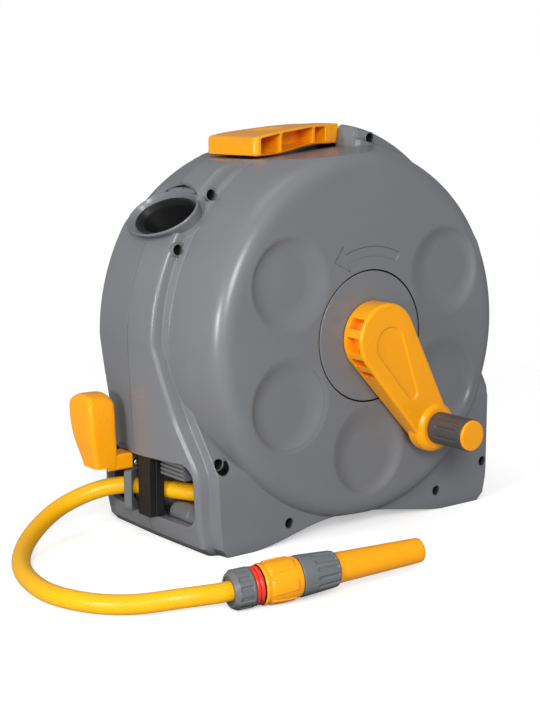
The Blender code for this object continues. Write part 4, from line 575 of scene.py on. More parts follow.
# Drum: the line of face, shoulder and wall turned round the axle
def drumBlank(name, c, inset, steps):
    line = [(c["radius"] - drop - inset, c["depth"] - max(back, inset)) for drop, back in c["shoulder"]]
    if not inset:
        line = softened([(c["radius"] - c["faceEdge"], c["depth"])] + line, 0.002, 2).tolist()
    low = -c["overlap"] - inset
    line = [(0, c["depth"] - inset)] + line + [(c["radius"] - inset, low), (0, low)]
    most, shallow, full, middle, half = c["slack"]
    fade, inside, span = c["slackEdge"]

    # softer shoulder on one side: radius less by most * turned * depth^1.5 * outer, all three from 0 to 1
    def slack(height, turn, radius):
        away = np.abs((np.degrees(turn) - middle + 180) % 360 - 180)
        turned = np.clip((half - away) / fade, 0, 1)
        depth = np.clip((height - shallow) / (full - shallow), 0, 1)
        outer = np.clip((radius - inside) / span, 0, 1)
        return -most * turned * turned * (3 - 2 * turned) * depth ** 1.5 * outer

    return turnedBody(name, line, toFront, steps, slack)


# Section of a side at each station: seam, slope that falls off by its depth share to the 1.4, ridge rounded by a
# quadratic curve over the crest, step down to a corner, flat to the groove, root
def sideSections(c, seamReach, crestReach, grooveReach, crestDeep, grooveDeep, root, fine):
    crest, groove = np.stack([crestReach, crestDeep], -1), np.stack([grooveReach, grooveDeep], -1)
    chord = groove - crest
    long = np.linalg.norm(chord, axis=1)[:, None] + 1e-9
    near = np.minimum(c["ridge"], 0.45 * long)
    share = np.clip(1 - near / crest[:, 1:], 0, 1) * np.linspace(0, 1, 8 if fine else 2)[None]
    slope = np.stack([seamReach[:, None] + (crestReach - seamReach)[:, None] * share ** 1.4,
                      crestDeep[:, None] * share], -1)
    corner = groove - chord * c["channel"]
    step = corner - crest
    turned = crest + step * near / (np.linalg.norm(step, axis=1)[:, None] + 1e-9)
    t = np.linspace(0, 1, 7 if fine else 2)[None, 1:, None]
    start = slope[:, -1][:, None]
    curves = [(1 - t) ** 2 * start + 2 * t * (1 - t) * crest[:, None] + t ** 2 * turned[:, None]]
    t = np.linspace(0, 1, 4 if fine else 2)[None, 1:, None]
    curves += [a[:, None] + (b - a)[:, None] * t for a, b in ((turned, corner), (corner, groove))]
    low = np.full_like(root, -c["overlap"])
    ends = [np.stack(pair, -1)[:, None] for pair in ((root, low), (seamReach, low), (root, grooveDeep))]
    section = np.concatenate([*ends[:2], slope, *curves, ends[2]], axis=1)
    return section[..., 0], section[..., 1]


# One side of the casing: rings at heights from the ground to the axle, then at angles up the drum
def flankBody(name, c, side, blunt, inset=0.0, fine=True):
    table = np.array(c["right" if side > 0 else "left"])
    low = c["arch"][2] + c["wall"] if inset else 0.0
    heights = np.r_[low, np.arange(0.004, c["axle"], 0.004 if fine else 0.02)]
    heights = np.r_[heights[heights >= low], c["axle"]]
    rows = np.column_stack([np.interp(heights, table[:, 0], table[:, k]) for k in range(1, 6)])
    if fine:
        soft = evened(rows.copy(), 1)
        soft[2:-2] = 0.25 * soft[1:-3] + 0.5 * soft[2:-2] + 0.25 * soft[3:-1]
        rows[3:] = soft[3:]
    reach, deep = sideSections(c, *(c["bandRadius"] - rows[:, k] - inset for k in (0, 1, 3)),
                               rows[:, 2] - inset * c["insetShare"], rows[:, 4] - inset,
                               c["root"] * (2 * heights / c["axle"] - 1), fine)
    body = np.stack([side * reach, -deep, np.repeat(heights[:, None], reach.shape[1], axis=1)], axis=-1)
    if blunt:
        end = c["rightEnd"] - math.degrees(inset / c["bandRadius"])
        marks = ((0, 1, 1), *((end - before, rise, spread) for before, rise, spread in c["blunt"]))
        angles = np.r_[np.arange(1.5, end - 5, 1.5 if fine else 9), np.linspace(end - 5, end, 9)]
    else:
        marks = c["fade"]
        angles = np.r_[np.arange(1.5, marks[-1][0], 1.5 if fine else 7.5), marks[-1][0]]
    marks = np.array(marks)
    rise, spread = (np.interp(angles, marks[:, 0], marks[:, k]) for k in (1, 2))
    ground = c["radius"] - 0.004 - inset
    last = table[-1]
    seamReach, crestReach = (ground + (c["bandRadius"] - last[k] - inset - ground) * rise for k in (1, 2))
    grooveReach = np.minimum(c["bandRadius"] - last[4] - inset, crestReach)
    reach, deep = sideSections(c, seamReach, crestReach, grooveReach, (last[3] - inset * c["insetShare"]) * spread,
                               (last[5] - inset) * spread, np.full(len(angles), c["root"]), fine)
    turn = np.radians(angles)[:, None]
    band = np.stack([side * reach * np.cos(turn), -deep, c["axle"] + reach * np.sin(turn)], axis=-1)
    return ringBody(name, np.concatenate([body, band]))


# What the flat top cuts off: a block over a plane that rises by a slope to the right
def topBlock(name, c, lowered):
    base, slope = c["axle"] + c["flatTop"][0] - lowered, c["flatTop"][1]
    rings = [[(x, y, base + x * slope + up) for x in (-0.3, 0.3) for y in ((-0.3, 0.3) if x < 0 else (0.3, -0.3))]
             for up in (0, 0.1)]
    return ringBody(name, rings)


# Rectangle with a quarter circle at each corner
def roundedOutline(low, high, corner, steps=10):
    centres = np.array(((high[0] - corner, low[1] + corner), (high[0] - corner, high[1] - corner),
                        (low[0] + corner, high[1] - corner), (low[0] + corner, low[1] + corner)))
    angle = np.radians(np.linspace(0, 90, steps + 1))[None] + np.radians((-90, 0, 90, 180))[:, None]
    return (centres[:, None] + corner * np.stack([np.cos(angle), np.sin(angle)], axis=-1)).reshape(-1, 2)


# Body along the nozzle pocket's tilted axis: each level is (height, extra half width, extra half height)
def pocketBody(name, p, levels, steps=72):
    tilt = math.radians(p["tilt"])
    axis, across = np.array((math.cos(tilt), 0, math.sin(tilt))), np.array((-math.sin(tilt), 0, math.cos(tilt)))
    levels, stations = np.array(levels), np.array(p["stations"])
    wide, tall, shift = (np.interp(-levels[:, 0], stations[:, 0], stations[:, k]) for k in (1, 2, 3))
    angle = np.arange(steps) * math.tau / steps
    centre = (np.array((p["x"], 0, p["z"])) + levels[:, :1] * axis - shift[:, None] * across)[:, None]
    rings = (centre + ((wide + levels[:, 1])[:, None] * np.cos(angle))[..., None] * np.array((0, 1.0, 0))
             + ((tall + levels[:, 2])[:, None] * np.sin(angle))[..., None] * across)
    return ringBody(name, rings)


# Dimple cutter: a cone with a soft lip and a soft foot, whose floor lies further out than its rim
def dimpleBody(name, c, degrees, grown=0.0, steps=96):
    d = c["dimples"]
    line = roundCorners([(d["radius"] + 0.006, 0.0022), (d["radius"] + 0.006, 0.0003), (d["radius"], 0.0),
                         (d["floor"], -d["deep"]), (0.002, -d["deep"])], (0.0, 0.0045, 0.006), 7)
    share = np.clip(-line[:, 1] / d["deep"], 0, 1)
    out = np.array((math.cos(math.radians(degrees)), math.sin(math.radians(degrees))))
    angle = np.arange(steps) * math.tau / steps
    centre = out[None] * (d["circle"] + d["shift"] * share)[:, None]
    flat = centre[:, None] + (line[:, 0] + grown)[:, None, None] * np.stack([np.cos(angle), np.sin(angle)], -1)[None]
    high = np.repeat((-c["depth"] - line[:, 1] + grown)[:, None], steps, axis=1)
    return ringBody(name, np.stack([flat[..., 0], high, c["axle"] + flat[..., 1]], axis=-1))


# Bent arrow: an outer and an inner arc round the axle, joined by a point and its barbs
def arrowOutline(a, z):
    sweep = np.radians(np.linspace(a["from"], a["to"], 30))
    outer, inner = a["radius"] + a["width"] / 2, a["radius"] - a["width"] / 2
    radius = np.r_[np.full(30, outer), a["radius"] + a["head"] / 2, a["radius"] + a["width"] / 2,
                   a["radius"] - a["head"] / 2, np.full(30, inner)]
    angle = np.r_[sweep, math.radians(a["to"]), math.radians(a["tip"]), math.radians(a["to"]), sweep[::-1]]
    return np.column_stack([radius * np.cos(angle), z + radius * np.sin(angle)])


# Underside between the feet: a soft curve through the given points, closed below the ground
def archOutline(line):
    flat = [(x, 0.0, z) for x, z in line]
    curve = smoothRoute([flat[0], *flat, flat[-1]], 48)[1:-1]
    return np.vstack([curve[:, (0, 2)], ((line[-1][0], -0.02), (line[0][0], -0.02))])


def casingBlank(c):
    blank = drumBlank("blank", c, 0, 208)
    joined(blank, topBlock("flatTop", c, 0))
    joined(blank, [flankBody("flankLeft", c, -1, False), flankBody("flankRight", c, 1, True)], "UNION")
    cavity = drumBlank("cavity", c, c["wall"], 72)
    joined(cavity, topBlock("flatTopInner", c, c["wall"]))
    joined(cavity, [flankBody("cavityLeft", c, -1, False, c["wall"], False),
                    flankBody("cavityRight", c, 1, True, c["wall"], False)], "UNION")
    left, right, high = c["arch"]
    floor, wall = high + c["wall"], c["wall"]
    joined(cavity, [blockBody("floorCutter", (-0.3, -0.2, -0.1), (0.3, 0.1, floor)),
                    blockBody("tunnelCutter", (c["tunnel"][0], -0.2, -0.1),
                              (c["tunnel"][1], 0.1, floor + c["tunnel"][2]))])
    joined(cavity, [blockBody("footLeft", (-c["footHollow"], wall - c["baseDepth"], wall),
                              (left - wall, c["overlap"] + wall, floor + wall)),
                    blockBody("footRight", (right + wall, wall - c["baseDepth"], wall),
                              (c["footHollow"], c["overlap"] + wall, floor + wall))], "UNION")
    joined(blank, settled(cavity))
    return settled(blank)


# What both halves hold: mouth sleeve, pocket boss, screw bosses, handle slot and arch
def casingFittings(cover, c, side):
    m, p, gap = c["mouth"], c["pocket"], side * c["gap"] / 2
    low, high = sorted((gap, side * 0.2))

    def half(tool):
        joined(tool, blockBody("half", (-0.4, low, -0.1), (0.4, high, 0.6)), "INTERSECT")
        return settled(tool)

    sleeve = roundedOutline((-m["half"] - m["lip"], m["low"] - m["lip"]), (m["half"] + m["lip"], m["high"] + m["lip"]),
                            m["corner"] + m["lip"])
    mouth = roundedOutline((-m["half"], m["low"]), (m["half"], m["high"]), m["corner"])
    joined(cover, half(prism("sleeve", sleeve, 0, (m["face"], m["inner"]))), "UNION")
    turn = np.radians(np.linspace(90, 0, 6))
    edge, (wider, taller) = p["edge"], p["flare"]
    lip = [(edge - edge * (1 - s), p["rim"] - edge * (1 - k), p["rim"] - edge * (1 - k))
           for s, k in zip(np.sin(turn), np.cos(turn))]
    t = np.linspace(0.1, 1, 10)
    flare = np.column_stack([-p["boss"] * t, p["rim"] + wider * t ** 1.5, p["rim"] + taller * t ** 1.5])
    joined(cover, half(pocketBody("pocketBoss", p, lip + flare.tolist())), "UNION")
    left, right, wide, floor, lining = c["slot"]
    wall = c["wall"]
    joined(cover, half(blockBody("slotBlock", (left + c["slotStart"], -wide - wall, floor - wall),
                                 (right + wall, wide + wall, lining))), "UNION")
    bosses = [rodBody("boss", c["bossRadius"], (x, gap, z), (x, side * deep, z), 24) for x, z, deep in c["screws"]]
    joined(cover, bosses, "UNION")

    cuts = [prism("mouthHole", mouth, 0, (-0.24, m["inner"] + 0.006)),
            pocketBody("pocketHole", p, [(high, wider, wider) for high, wider in p["hole"]]),
            prism("slotHole", roundedOutline((left, floor), (right, 0.45), 0.002), 1, (-wide, wide)),
            prism("archHole", archOutline(c["archLine"]), 1, (-0.15, 0.15))]
    return joined(cover, cuts)


def copied(blank, name):
    piece = blank.copy()
    piece.data = blank.data.copy()
    piece.name = name
    scene.collection.objects.link(piece)
    return piece


def makeFrontCover(c, blank):
    front = copied(blank, "frontShell")
    joined(front, [dimpleBody("pad", c, at, c["wall"], 36) for at in c["dimples"]["at"]], "UNION")
    z = c["axle"]
    start, end = ((0, -c["depth"] + behind, z) for behind in c["collar"])
    joined(front, rodBody("collar", c["hubHole"] + c["wall"], start, end, 96), "UNION")
    casingFittings(front, c, -1)
    joined(front, rodBody("hubHole", c["hubHole"], (0, -0.2, z), (0, -0.08, z), 144))
    joined(front, [dimpleBody("dimple", c, at) for at in c["dimples"]["at"]])
    arrow = arrowOutline(c["arrow"], z)
    joined(front, prism("arrow", arrow, 1, (-c["depth"] + c["arrow"]["deep"], -c["depth"] - 0.01)))
    radius, x, z, deep = c["scoop"]
    joined(front, rodBody("scoop", radius, (x, -0.15, z), (x, -deep, z), 40))
    joined(front, [rodBody("bore", c["bore"], (x, -0.15, z), (x, -c["seat"], z), 32) for x, z, _ in c["screws"]])
    joined(front, blockBody("trim", (-0.4, -c["gap"] / 2, -0.1), (0.4, 0.1, 0.6)))
    dress(settled(front), "casing", "casing", ["front_cover"], angle=16)
    front.data.materials.append(finishes["arrow"])
    spots = np.array([f.center for f in front.data.polygons]) - seam
    floor = (np.abs(spots[:, 1] + c["depth"] - c["arrow"]["deep"]) < 0.0002) & (
        np.abs(np.hypot(spots[:, 0], spots[:, 2] - z) - c["arrow"]["radius"]) < c["arrow"]["head"])
    front.data.polygons.foreach_set("material_index", floor.astype(np.int32))


def makeRearCover(c, blank):
    rear = copied(blank, "rearShell")
    rear.data.transform(Matrix.Translation(Vector(seam)) @ Matrix.Diagonal((1, -1, 1, 1))
                        @ Matrix.Translation(-Vector(seam)))
    rear.data.flip_normals()
    z = c["axle"]
    radius, start, back = c["well"]
    joined(rear, rodBody("well", radius, (0, start, z), (0, c["depth"] - back, z), 72), "UNION")
    casingFittings(rear, c, 1)
    for name, steps in (("recess", 96), ("bushSeat", 48)):
        radius, start, end = c[name]
        joined(rear, rodBody(name, radius, (0, start, z), (0, end, z), steps))
    joined(rear, blockBody("guideBlock", *c["guideBlock"]), "UNION")
    joined(rear, rodBody("guideSeat", *c["guideSeat"], 32))
    joined(rear, blockBody("trim", (-0.4, -0.2, -0.1), (0.4, c["gap"] / 2, 0.6)))
    dress(settled(rear), "casing", "casing", ["rear_cover"], angle=28)


# Sizes of the rear half: deeper bands, its own fade and its own soft shoulder
def deepened(c):
    deep = c["rearBand"]
    return c | {key: [(*row[:3], max(row[3], deep), row[4], max(row[5], deep + 0.009)) for row in c[key]]
                for key in ("left", "right")} | {"fade": c["rearFade"], "slack": c["rearSlack"]}


for maker, sizes in ((makeFrontCover, casing), (makeRearCover, deepened(casing))):
    blankCasing = casingBlank(sizes)
    maker(sizes, blankCasing)
    bpy.data.objects.remove(blankCasing)
print("casing made")


# Hub disc and crank
hub = {"radius": 0.065, "skirt": 0.0660, "front": 0.113, "step": 0.1065, "back": 0.0922, "edge": 0.0010,
       "spigot": (0.011, 0.002, 0.012)}      # radius, how far it starts behind and ends before the face


def makeHub(h):
    line = roundCorners([(0, h["front"]), (h["radius"] - 0.004, h["front"]), (h["radius"], h["front"]),
                         (h["radius"], h["step"]), (h["skirt"], h["step"]), (h["skirt"], h["back"]),
                         (0, h["back"])], (0, h["edge"], 0, 0, 0, 0), 5)
    disc = turnedBody("hubPlate", line, toFront, 144)
    radius, behind, before = h["spigot"]
    joined(disc, rodBody("spigot", radius, (0, -h["front"] + behind, casing["axle"]),
                         (0, -h["front"] - before, casing["axle"]), 64), "UNION")
    dress(settled(disc), "casing", "drum", ["hub_disc"], angle=28)


crank = {"head": 0.0355, "waist": 0.0215, "end": 0.0258, "front": 0.140, "back": 0.1133, "endBack": 0.122,
         "gripX": 0.0664, "gripZ": 0.1035, "edge": 0.0032, "bossRise": 0.0035, "bossTop": 0.0185,
         # pockets in its side: degrees round the head, distance along the arm, width
         "pockets": ((152, 0, 0.0118), (188, 0, 0.0165), (208, 0.0075, 0.0105), (208, 0.0235, 0.0075)),
         "pocketDeep": 0.010, "pocketCorner": 0.0010,
         # sunk field of the arm: radii at its two ends, depth, and its steps outwards and up
         "field": (0.0185, 0.0070, 0.0015), "fieldEnds": ((0.003, 0.194), (0.034, 0.142)), "fieldEdge": 0.0022,
         "fieldSteps": ((0, 0), (0.0006, 0.0001), (0.0012, 0.0005), (0.0018, 0.0012), (0.0023, 0.0020)),
         "spigot": (0.0113, 0.1253), "spindle": (0.0053, 0.1267),     # radius of the hole, how far it goes
         "gap": 0.0003, "gripLong": 0.045, "cap": 0.0153, "capHigh": 0.0033, "stem": (0.005, 0.127),
         "gripRadius": 0.0162, "gripBore": 0.0053, "grooves": 10, "grooveDeep": 0.0010, "grooveHalf": 0.0017}


# Outline round two circles: for each direction, the circle that reaches further that way
def twoCircleRings(a, b, levels, steps=144):
    (ax, az), (bx, bz) = a, b
    angle = np.arange(steps) * math.tau / steps
    ray = np.column_stack([np.cos(angle), np.sin(angle)])
    rings = []
    for first, second, deep in levels:
        far = ray @ np.array((bx - ax, bz - az)) > first - second
        flat = np.where(far[:, None], np.array((bx, bz)) + second * ray, np.array((ax, az)) + first * ray)
        rings.append(np.column_stack([flat[:, 0], np.full(steps, -deep), flat[:, 1]]))
    return rings


def makeCrank(c):
    head, grip = (0, casing["axle"]), (c["gripX"], c["gripZ"])
    turn = np.radians(np.linspace(0, 90, 9))
    soft = [(c["edge"] * (1 - math.cos(t)), c["front"] - c["edge"] * (1 - math.sin(t))) for t in turn]
    levels = [(c["head"] - 0.0006, c["waist"] - 0.006, c["back"]), (c["head"], c["waist"] - 0.004, c["back"] + 0.0006),
              (c["head"], c["waist"] - 0.001, c["endBack"] + 0.001), (c["head"], c["waist"], c["endBack"] + 0.006)]
    levels += [(c["head"] - inset, c["waist"] - inset, deep) for inset, deep in soft]
    arm = ringBody("crankArm", twoCircleRings(head, grip, levels))
    place = Matrix.Translation((grip[0], 0, grip[1])) @ Matrix.Rotation(math.pi / 2, 4, "X")
    line = [(0, c["endBack"]), (c["end"] - 0.003, c["endBack"]), (c["end"], c["endBack"] + 0.004),
            (c["end"], c["front"] - 0.001), (c["bossTop"] + 0.002, c["front"] + c["bossRise"]),
            (0, c["front"] + c["bossRise"])]
    joined(arm, turnedBody("gripBoss", roundCorners(line, (0.002, 0.002, 0.0035, 0.0015), 6), place, 144), "UNION")
    (near, far, sunk), edge = c["field"], c["fieldEdge"]
    hollow = [(near - edge + up, far - edge + up, c["front"] - sunk + rise) for up, rise in c["fieldSteps"]]
    joined(arm, ringBody("armHollow", twoCircleRings(*c["fieldEnds"], hollow, 96)))
    z = casing["axle"]
    slope = math.atan2(c["gripZ"] - z, c["gripX"])
    deep, corner = c["pocketDeep"], c["pocketCorner"]
    for at, along, wide in c["pockets"]:
        ray = np.array((math.cos(math.radians(at)), math.sin(math.radians(at))))
        centre = np.array(head) + ray * c["head"] + along * np.array((math.cos(slope), math.sin(slope)))
        outline = roundedOutline((-wide / 2, -c["front"] + 0.0035), (wide / 2, -c["back"] - 0.005), corner, 4)
        rings = [[(centre[0] + ray[0] * out - ray[1] * u * s, y, centre[1] + ray[1] * out + ray[0] * u * s)
                  for u, y in outline] for out, s in ((-deep, 0.82), (0.012, 1.15))]
        joined(arm, ringBody("armPocket", rings))
    for name, (radius, deep), (x, z), start in (("spigotHole", c["spigot"], head, -0.1),
                                                ("spindleHole", c["spindle"], grip, -0.16)):
        joined(arm, rodBody(name, radius, (x, start, z), (x, -deep, z), 48))
    dress(settled(arm), "accent", "drum", ["crank_arm"], angle=30)

    start = c["front"] + c["bossRise"] + c["gap"]
    end = start + c["gripLong"]
    wide, high, (stem, stemEnd) = c["cap"], end + c["capHigh"], c["stem"]
    cap = roundCorners([(0, high), (wide, high), (wide, end + c["gap"]), (stem, end + c["gap"]),
                        (stem, stemEnd), (0, stemEnd)], (0.0014, 0.0003, 0, 0), 5)
    cap[:, 1] += 0.0002 * np.clip(1 - (cap[:, 0] / wide) ** 2, 0, 1) * (cap[:, 1] > end + 0.003)
    dress(turnedBody("spindleCap", cap, place, 128), "accent", "drum", ["grip_spindle"])
    wide, bore, count = c["gripRadius"], c["gripBore"], c["grooves"]

    # grooves from near the arm towards the cap, with round ends
    def grooves(height, turn, radius):
        along = np.clip((height - start - 0.009) / 0.0015, 0, 1) * np.clip((end - 0.0065 - height) / 0.0015, 0, 1)
        across = np.abs(((turn * count / math.tau) % 1) - 0.5) * math.tau * wide / count
        dip = np.clip(1 - (across / c["grooveHalf"]) ** 2, 0, 1) ** 0.5
        return -c["grooveDeep"] * dip * along * along * (3 - 2 * along) * (radius > wide - 0.0007)

    height = np.r_[np.linspace(start + 0.0006, start + 0.012, 16), np.linspace(start + 0.016, end - 0.012, 6),
                   np.linspace(end - 0.009, end - 0.001, 13)]
    line = [(bore, start), (0.0157, start), *[(wide, h) for h in height], (0.0159, end - 0.0003),
            (0.0152, end), (bore, end)]
    dress(turnedBody("gripSleeve", line, place, 240, grooves), "grip", "grip", ["crank_grip"], angle=40)


makeHub(hub)
makeCrank(crank)
print("hub and crank made")


# Carry handle
handle = {"pivot": (0.060, 0.3915),
          # X, half width, underside, top
          "rows": ((-0.0885, 0.0385, 0.3765, 0.3923), (-0.0855, 0.0410, 0.3755, 0.3945),
                   (-0.070, 0.0405, 0.3760, 0.3975), (-0.052, 0.0365, 0.3772, 0.4000),
                   (-0.022, 0.0295, 0.3826, 0.4036), (0.000, 0.0235, 0.3855, 0.4056),
                   (0.018, 0.0190, 0.3856, 0.4060), (0.0275, 0.0175, 0.3856, 0.4063)),
          "nose": (0.006, 0.0352, 0.0058),      # length, half width at its tip, how much it widens
          "corner": 0.0028, "round": 0.28, "straight": 0.72,       # of the bar's section, two of them as shares
          "pockets": ((-0.081, -0.0535), (-0.0512, -0.0015), (0.0010, 0.0195)), "skin": 0.0018, "web": 0.003,
          "pad": (-0.052, 0.026, 0.0018), "end": 0.0395, "top": 0.4065, "knuckle": 0.0045, "half": 0.014}


# Bar of the carry handle: a rounded rectangle at each X, as wide and tall as the evened rows say; its nose widens
# along a quarter of an ellipse
def makeHandle(h):
    rows, (nose, tip, wider) = np.array(h["rows"]), h["nose"]
    x = np.r_[rows[0, 0], rows[0, 0] + nose * (1 - np.cos(np.linspace(0.25, 1, 6) * math.pi / 2)),
              np.linspace(rows[1, 0] + 0.003, rows[-1, 0], 64)]
    half, low, high = (np.interp(x, rows[:, 0], rows[:, k]) for k in (1, 2, 3))
    for line in (half, low, high):
        evened(line, 6, 8)
    early = np.clip((x - rows[0, 0]) / nose, 0, 1)
    half[:8] = tip + wider * np.sqrt(1 - (1 - early[:8]) ** 2)
    outline = roundedOutline((-1, -1), (1, 1), h["round"], 7)
    corner, unit, inCorner = h["corner"], np.sign(outline), np.abs(outline) > h["straight"]
    fill = np.where(inCorner, (outline - unit * h["straight"]) / h["round"], 0)      # round part, from 0 to 1
    u, v = np.where(inCorner, unit, outline / h["straight"]).T
    middle, tall = (low + high) / 2, (high - low) / 2
    y = (half - corner)[:, None] * u + corner * fill[:, 0]
    z = middle[:, None] + (tall - corner)[:, None] * v + corner * fill[:, 1]
    bar = ringBody("carryBar", np.stack([np.repeat(x[:, None], len(u), axis=1), y, z], axis=-1))
    px, pz = h["pivot"]
    tongue = roundedOutline((-h["half"], rows[-1, 2] + 0.0005), (h["half"], h["top"]), 0.0016, 6)
    joined(bar, prism("tongue", tongue, 0, (rows[-1, 0] - 0.004, h["end"])), "UNION")
    neck = roundedOutline((-h["half"], pz - h["knuckle"]), (h["half"], pz + h["knuckle"]), 0.0010, 4)
    joined(bar, prism("neck", neck, 0, (h["end"] - 0.003, px)), "UNION")
    joined(bar, rodBody("knuckle", h["knuckle"], (px, -h["half"], pz), (px, h["half"], pz), 96), "UNION")
    for left, right in h["pockets"]:
        for side in (-1, 1):
            rings = []
            for at, lean in ((h["web"] / 2, 0.0008), (0.06, 0)):
                (a, b), (d, c) = [((end, np.interp(end, x, low) + h["skin"] + lean),
                                   (end, np.interp(end, x, high) - h["skin"] - lean))
                                  for end in (left + lean, right - lean)]
                start = ((a[0] + d[0]) / 2, (a[1] + d[1]) / 2)
                ring = roundCorners([start, d, c, b, a, start], (0.0022,) * 4, 4)[:-1]
                rings.append(np.insert(ring, 1, side * at, axis=1))
            joined(bar, ringBody("barPocket", rings))
    padX, padRadius, padDeep = h["pad"]
    top = float(np.interp(padX, x, high))
    line = [(padRadius * s, -padDeep + (padDeep + 0.0012) * s ** 3) for s in np.linspace(0.1, 1.15, 12)]
    line = [(0, -padDeep), *line, (padRadius * 1.15, 0.006), (0, 0.006)]
    tilt = Matrix.Translation((padX, 0, top)) @ Matrix.Rotation(-0.05, 4, "Y")
    joined(bar, turnedBody("thumbPad", line, tilt, 96))
    joined(bar, rodBody("knuckleHole", 0.0022, (px, -0.03, pz), (px, 0.03, pz), 32))
    dress(settled(bar), "accent", "handle", ["carry_handle"], angle=30)


makeHandle(handle)
print("handle made")


# Hose guide
lever = {  # height, left, right, near, far
         "rows": ((0.0765, -0.2440, -0.2190, 0.0080, 0.0350), (0.0810, -0.2445, -0.2190, 0.0080, 0.0365),
                  (0.0880, -0.2455, -0.2185, 0.0080, 0.0400), (0.1000, -0.2480, -0.2190, 0.0080, 0.0450),
                  (0.1120, -0.2495, -0.2200, 0.0075, 0.0485), (0.1240, -0.2500, -0.2200, 0.0075, 0.0510),
                  (0.1370, -0.2505, -0.2200, 0.0090, 0.0510), (0.1450, -0.2480, -0.2220, 0.0140, 0.0460),
                  (0.1490, -0.2420, -0.2270, 0.0220, 0.0380)),
         "foot": ((-0.230, 0.0085, 0.0725), (-0.2028, 0.031, 0.0884)), "hollowTop": 0.084, "wall": 0.0025,
         "topFrom": 0.1375, "topHigh": 0.0113, "narrower": 0.42, "squareness": (0.26, 0.7)}


# Lever: at each height a ring between a circle and a square, cosine and sine raised to a small power
def makeLever(v):
    rows = np.array(v["rows"])
    top, (square, rounder) = v["topFrom"], v["squareness"]
    z = np.linspace(rows[0, 0], top, 40)
    sides = [evened(np.interp(z, rows[:, 0], rows[:, k]), 5) for k in (1, 2, 3, 4)]
    t = np.radians(np.linspace(6, 88, 14))                       # the top closes along a quarter of an ellipse
    z = np.r_[z, top + v["topHigh"] * np.sin(t)]
    middle = [(sides[0][-1] + sides[1][-1]) / 2, (sides[2][-1] + sides[3][-1]) / 2]
    left, right = (np.r_[line, middle[0] + (line[-1] - middle[0]) * (1 - v["narrower"] * (1 - np.cos(t)))]
                   for line in sides[:2])
    near, far = (np.r_[line, middle[1] + (line[-1] - middle[1]) * np.cos(t) ** 0.85] for line in sides[2:])
    angle = np.arange(72) * math.tau / 72
    power = np.r_[np.full(40, square), np.linspace(square, rounder, 14)][:, None]
    cos, sin = (np.sign(f) * np.abs(f)[None] ** power for f in (np.cos(angle), np.sin(angle)))
    x = ((left + right) / 2)[:, None] + ((right - left) / 2)[:, None] * cos
    y = ((near + far) / 2)[:, None] + ((far - near) / 2)[:, None] * sin
    paddle = ringBody("guidePaddle", np.stack([x, y, np.repeat(z[:, None], 72, axis=1)], axis=-1))
    (a, b, c), (d, e, f) = v["foot"]
    outline = roundedOutline((b, c), (e, f), 0.0025, 5)
    joined(paddle, prism("paddleFoot", outline, 0, (a, d)), "UNION")
    wall, first = v["wall"], rows[0]
    rings = []
    for at, lean in ((0.06, 0), (v["hollowTop"], 0.001)):
        outline = roundedOutline((first[1] + wall + lean, first[3] + wall + lean),
                                 (-0.225, first[4] - wall - lean), 0.004)
        rings.append(np.insert(outline, 2, at, axis=1))
    joined(paddle, ringBody("paddleHollow", rings))
    dress(settled(paddle), "accent", "guide", ["guide_lever"], angle=35)


guide = {"x": -0.190, "y": 0.022, "heading": 117, "half": 0.018, "thick": 0.009, "low": 0.0273, "top": 0.072,
         "hose": 0.050, "eye": 0.014, "bossLow": (-0.2025, 0.012, 0.069), "bossHigh": (-0.1835, 0.032, 0.0884),
         "rimSteps": ((-0.5, 0.0012), (-0.46, 0.0005), (-0.38, 0), (0.38, 0), (0.46, 0.0005), (0.5, 0.0012)),
         "screwAt": (-0.1965, 0.077),
         "screwHoles": (("screwSink", 0.0046, 0.0132, 40), ("screwHole", 0.0021, 0.0195, 32))}


# Guide plate: a rounded rectangle carried along the hose's direction, a little smaller at both faces
def makeGuideEye(g):
    turn = math.radians(g["heading"])
    heading, across = np.array((math.cos(turn), math.sin(turn), 0)), np.array((math.sin(turn), -math.cos(turn), 0))
    base = np.array((g["x"], g["y"], 0.0))
    outline = roundedOutline((-g["half"], g["low"]), (g["half"], g["top"]), 0.006, 8)
    rings = []
    for at, inset in g["rimSteps"]:
        centre = np.array((0, (g["low"] + g["top"]) / 2))
        flat = outline - np.sign(outline - centre) * inset
        rings.append(base + across * flat[:, :1] + heading * at * g["thick"] + np.array((0, 0, 1.0)) * flat[:, 1:])
    eye = ringBody("guideEyePlate", rings)
    (a, b, c), (d, e, f) = g["bossLow"], g["bossHigh"]
    outline = roundedOutline((a, b), (d, e), 0.0025, 6)
    joined(eye, prism("eyeBoss", outline, 2, (c, f)), "UNION")
    # the hole widens at both ends like a trumpet, so that the hose slides over a round lip
    at = np.linspace(-1, 1, 25)
    flare = [(g["eye"] - 0.0006 + 0.0022 * abs(s) ** 4, s * (g["thick"] / 2 + 0.0003)) for s in at]
    line = [(0, -0.02), (flare[0][0], -0.02)] + flare + [(flare[-1][0], 0.02), (0, 0.02)]
    joined(eye, turnedBody("eyeHole", line, aimed(base + (0, 0, g["hose"]), heading), 96))
    x, z = g["screwAt"]
    for name, radius, deep, steps in g["screwHoles"]:
        joined(eye, rodBody(name, radius, (x, 0.0, z), (x, deep, z), steps))
    dress(settled(eye), "fitting", "guide", ["guide_eye"], angle=30)


screws = {"guide": {"seat": 0.0117, "head": 0.0034, "high": 0.0022, "shank": 0.0018, "long": 0.007},
          "casing": {"seat": -0.0223, "head": 0.0048, "high": 0.0030, "shank": 0.0019, "long": 0.038}}


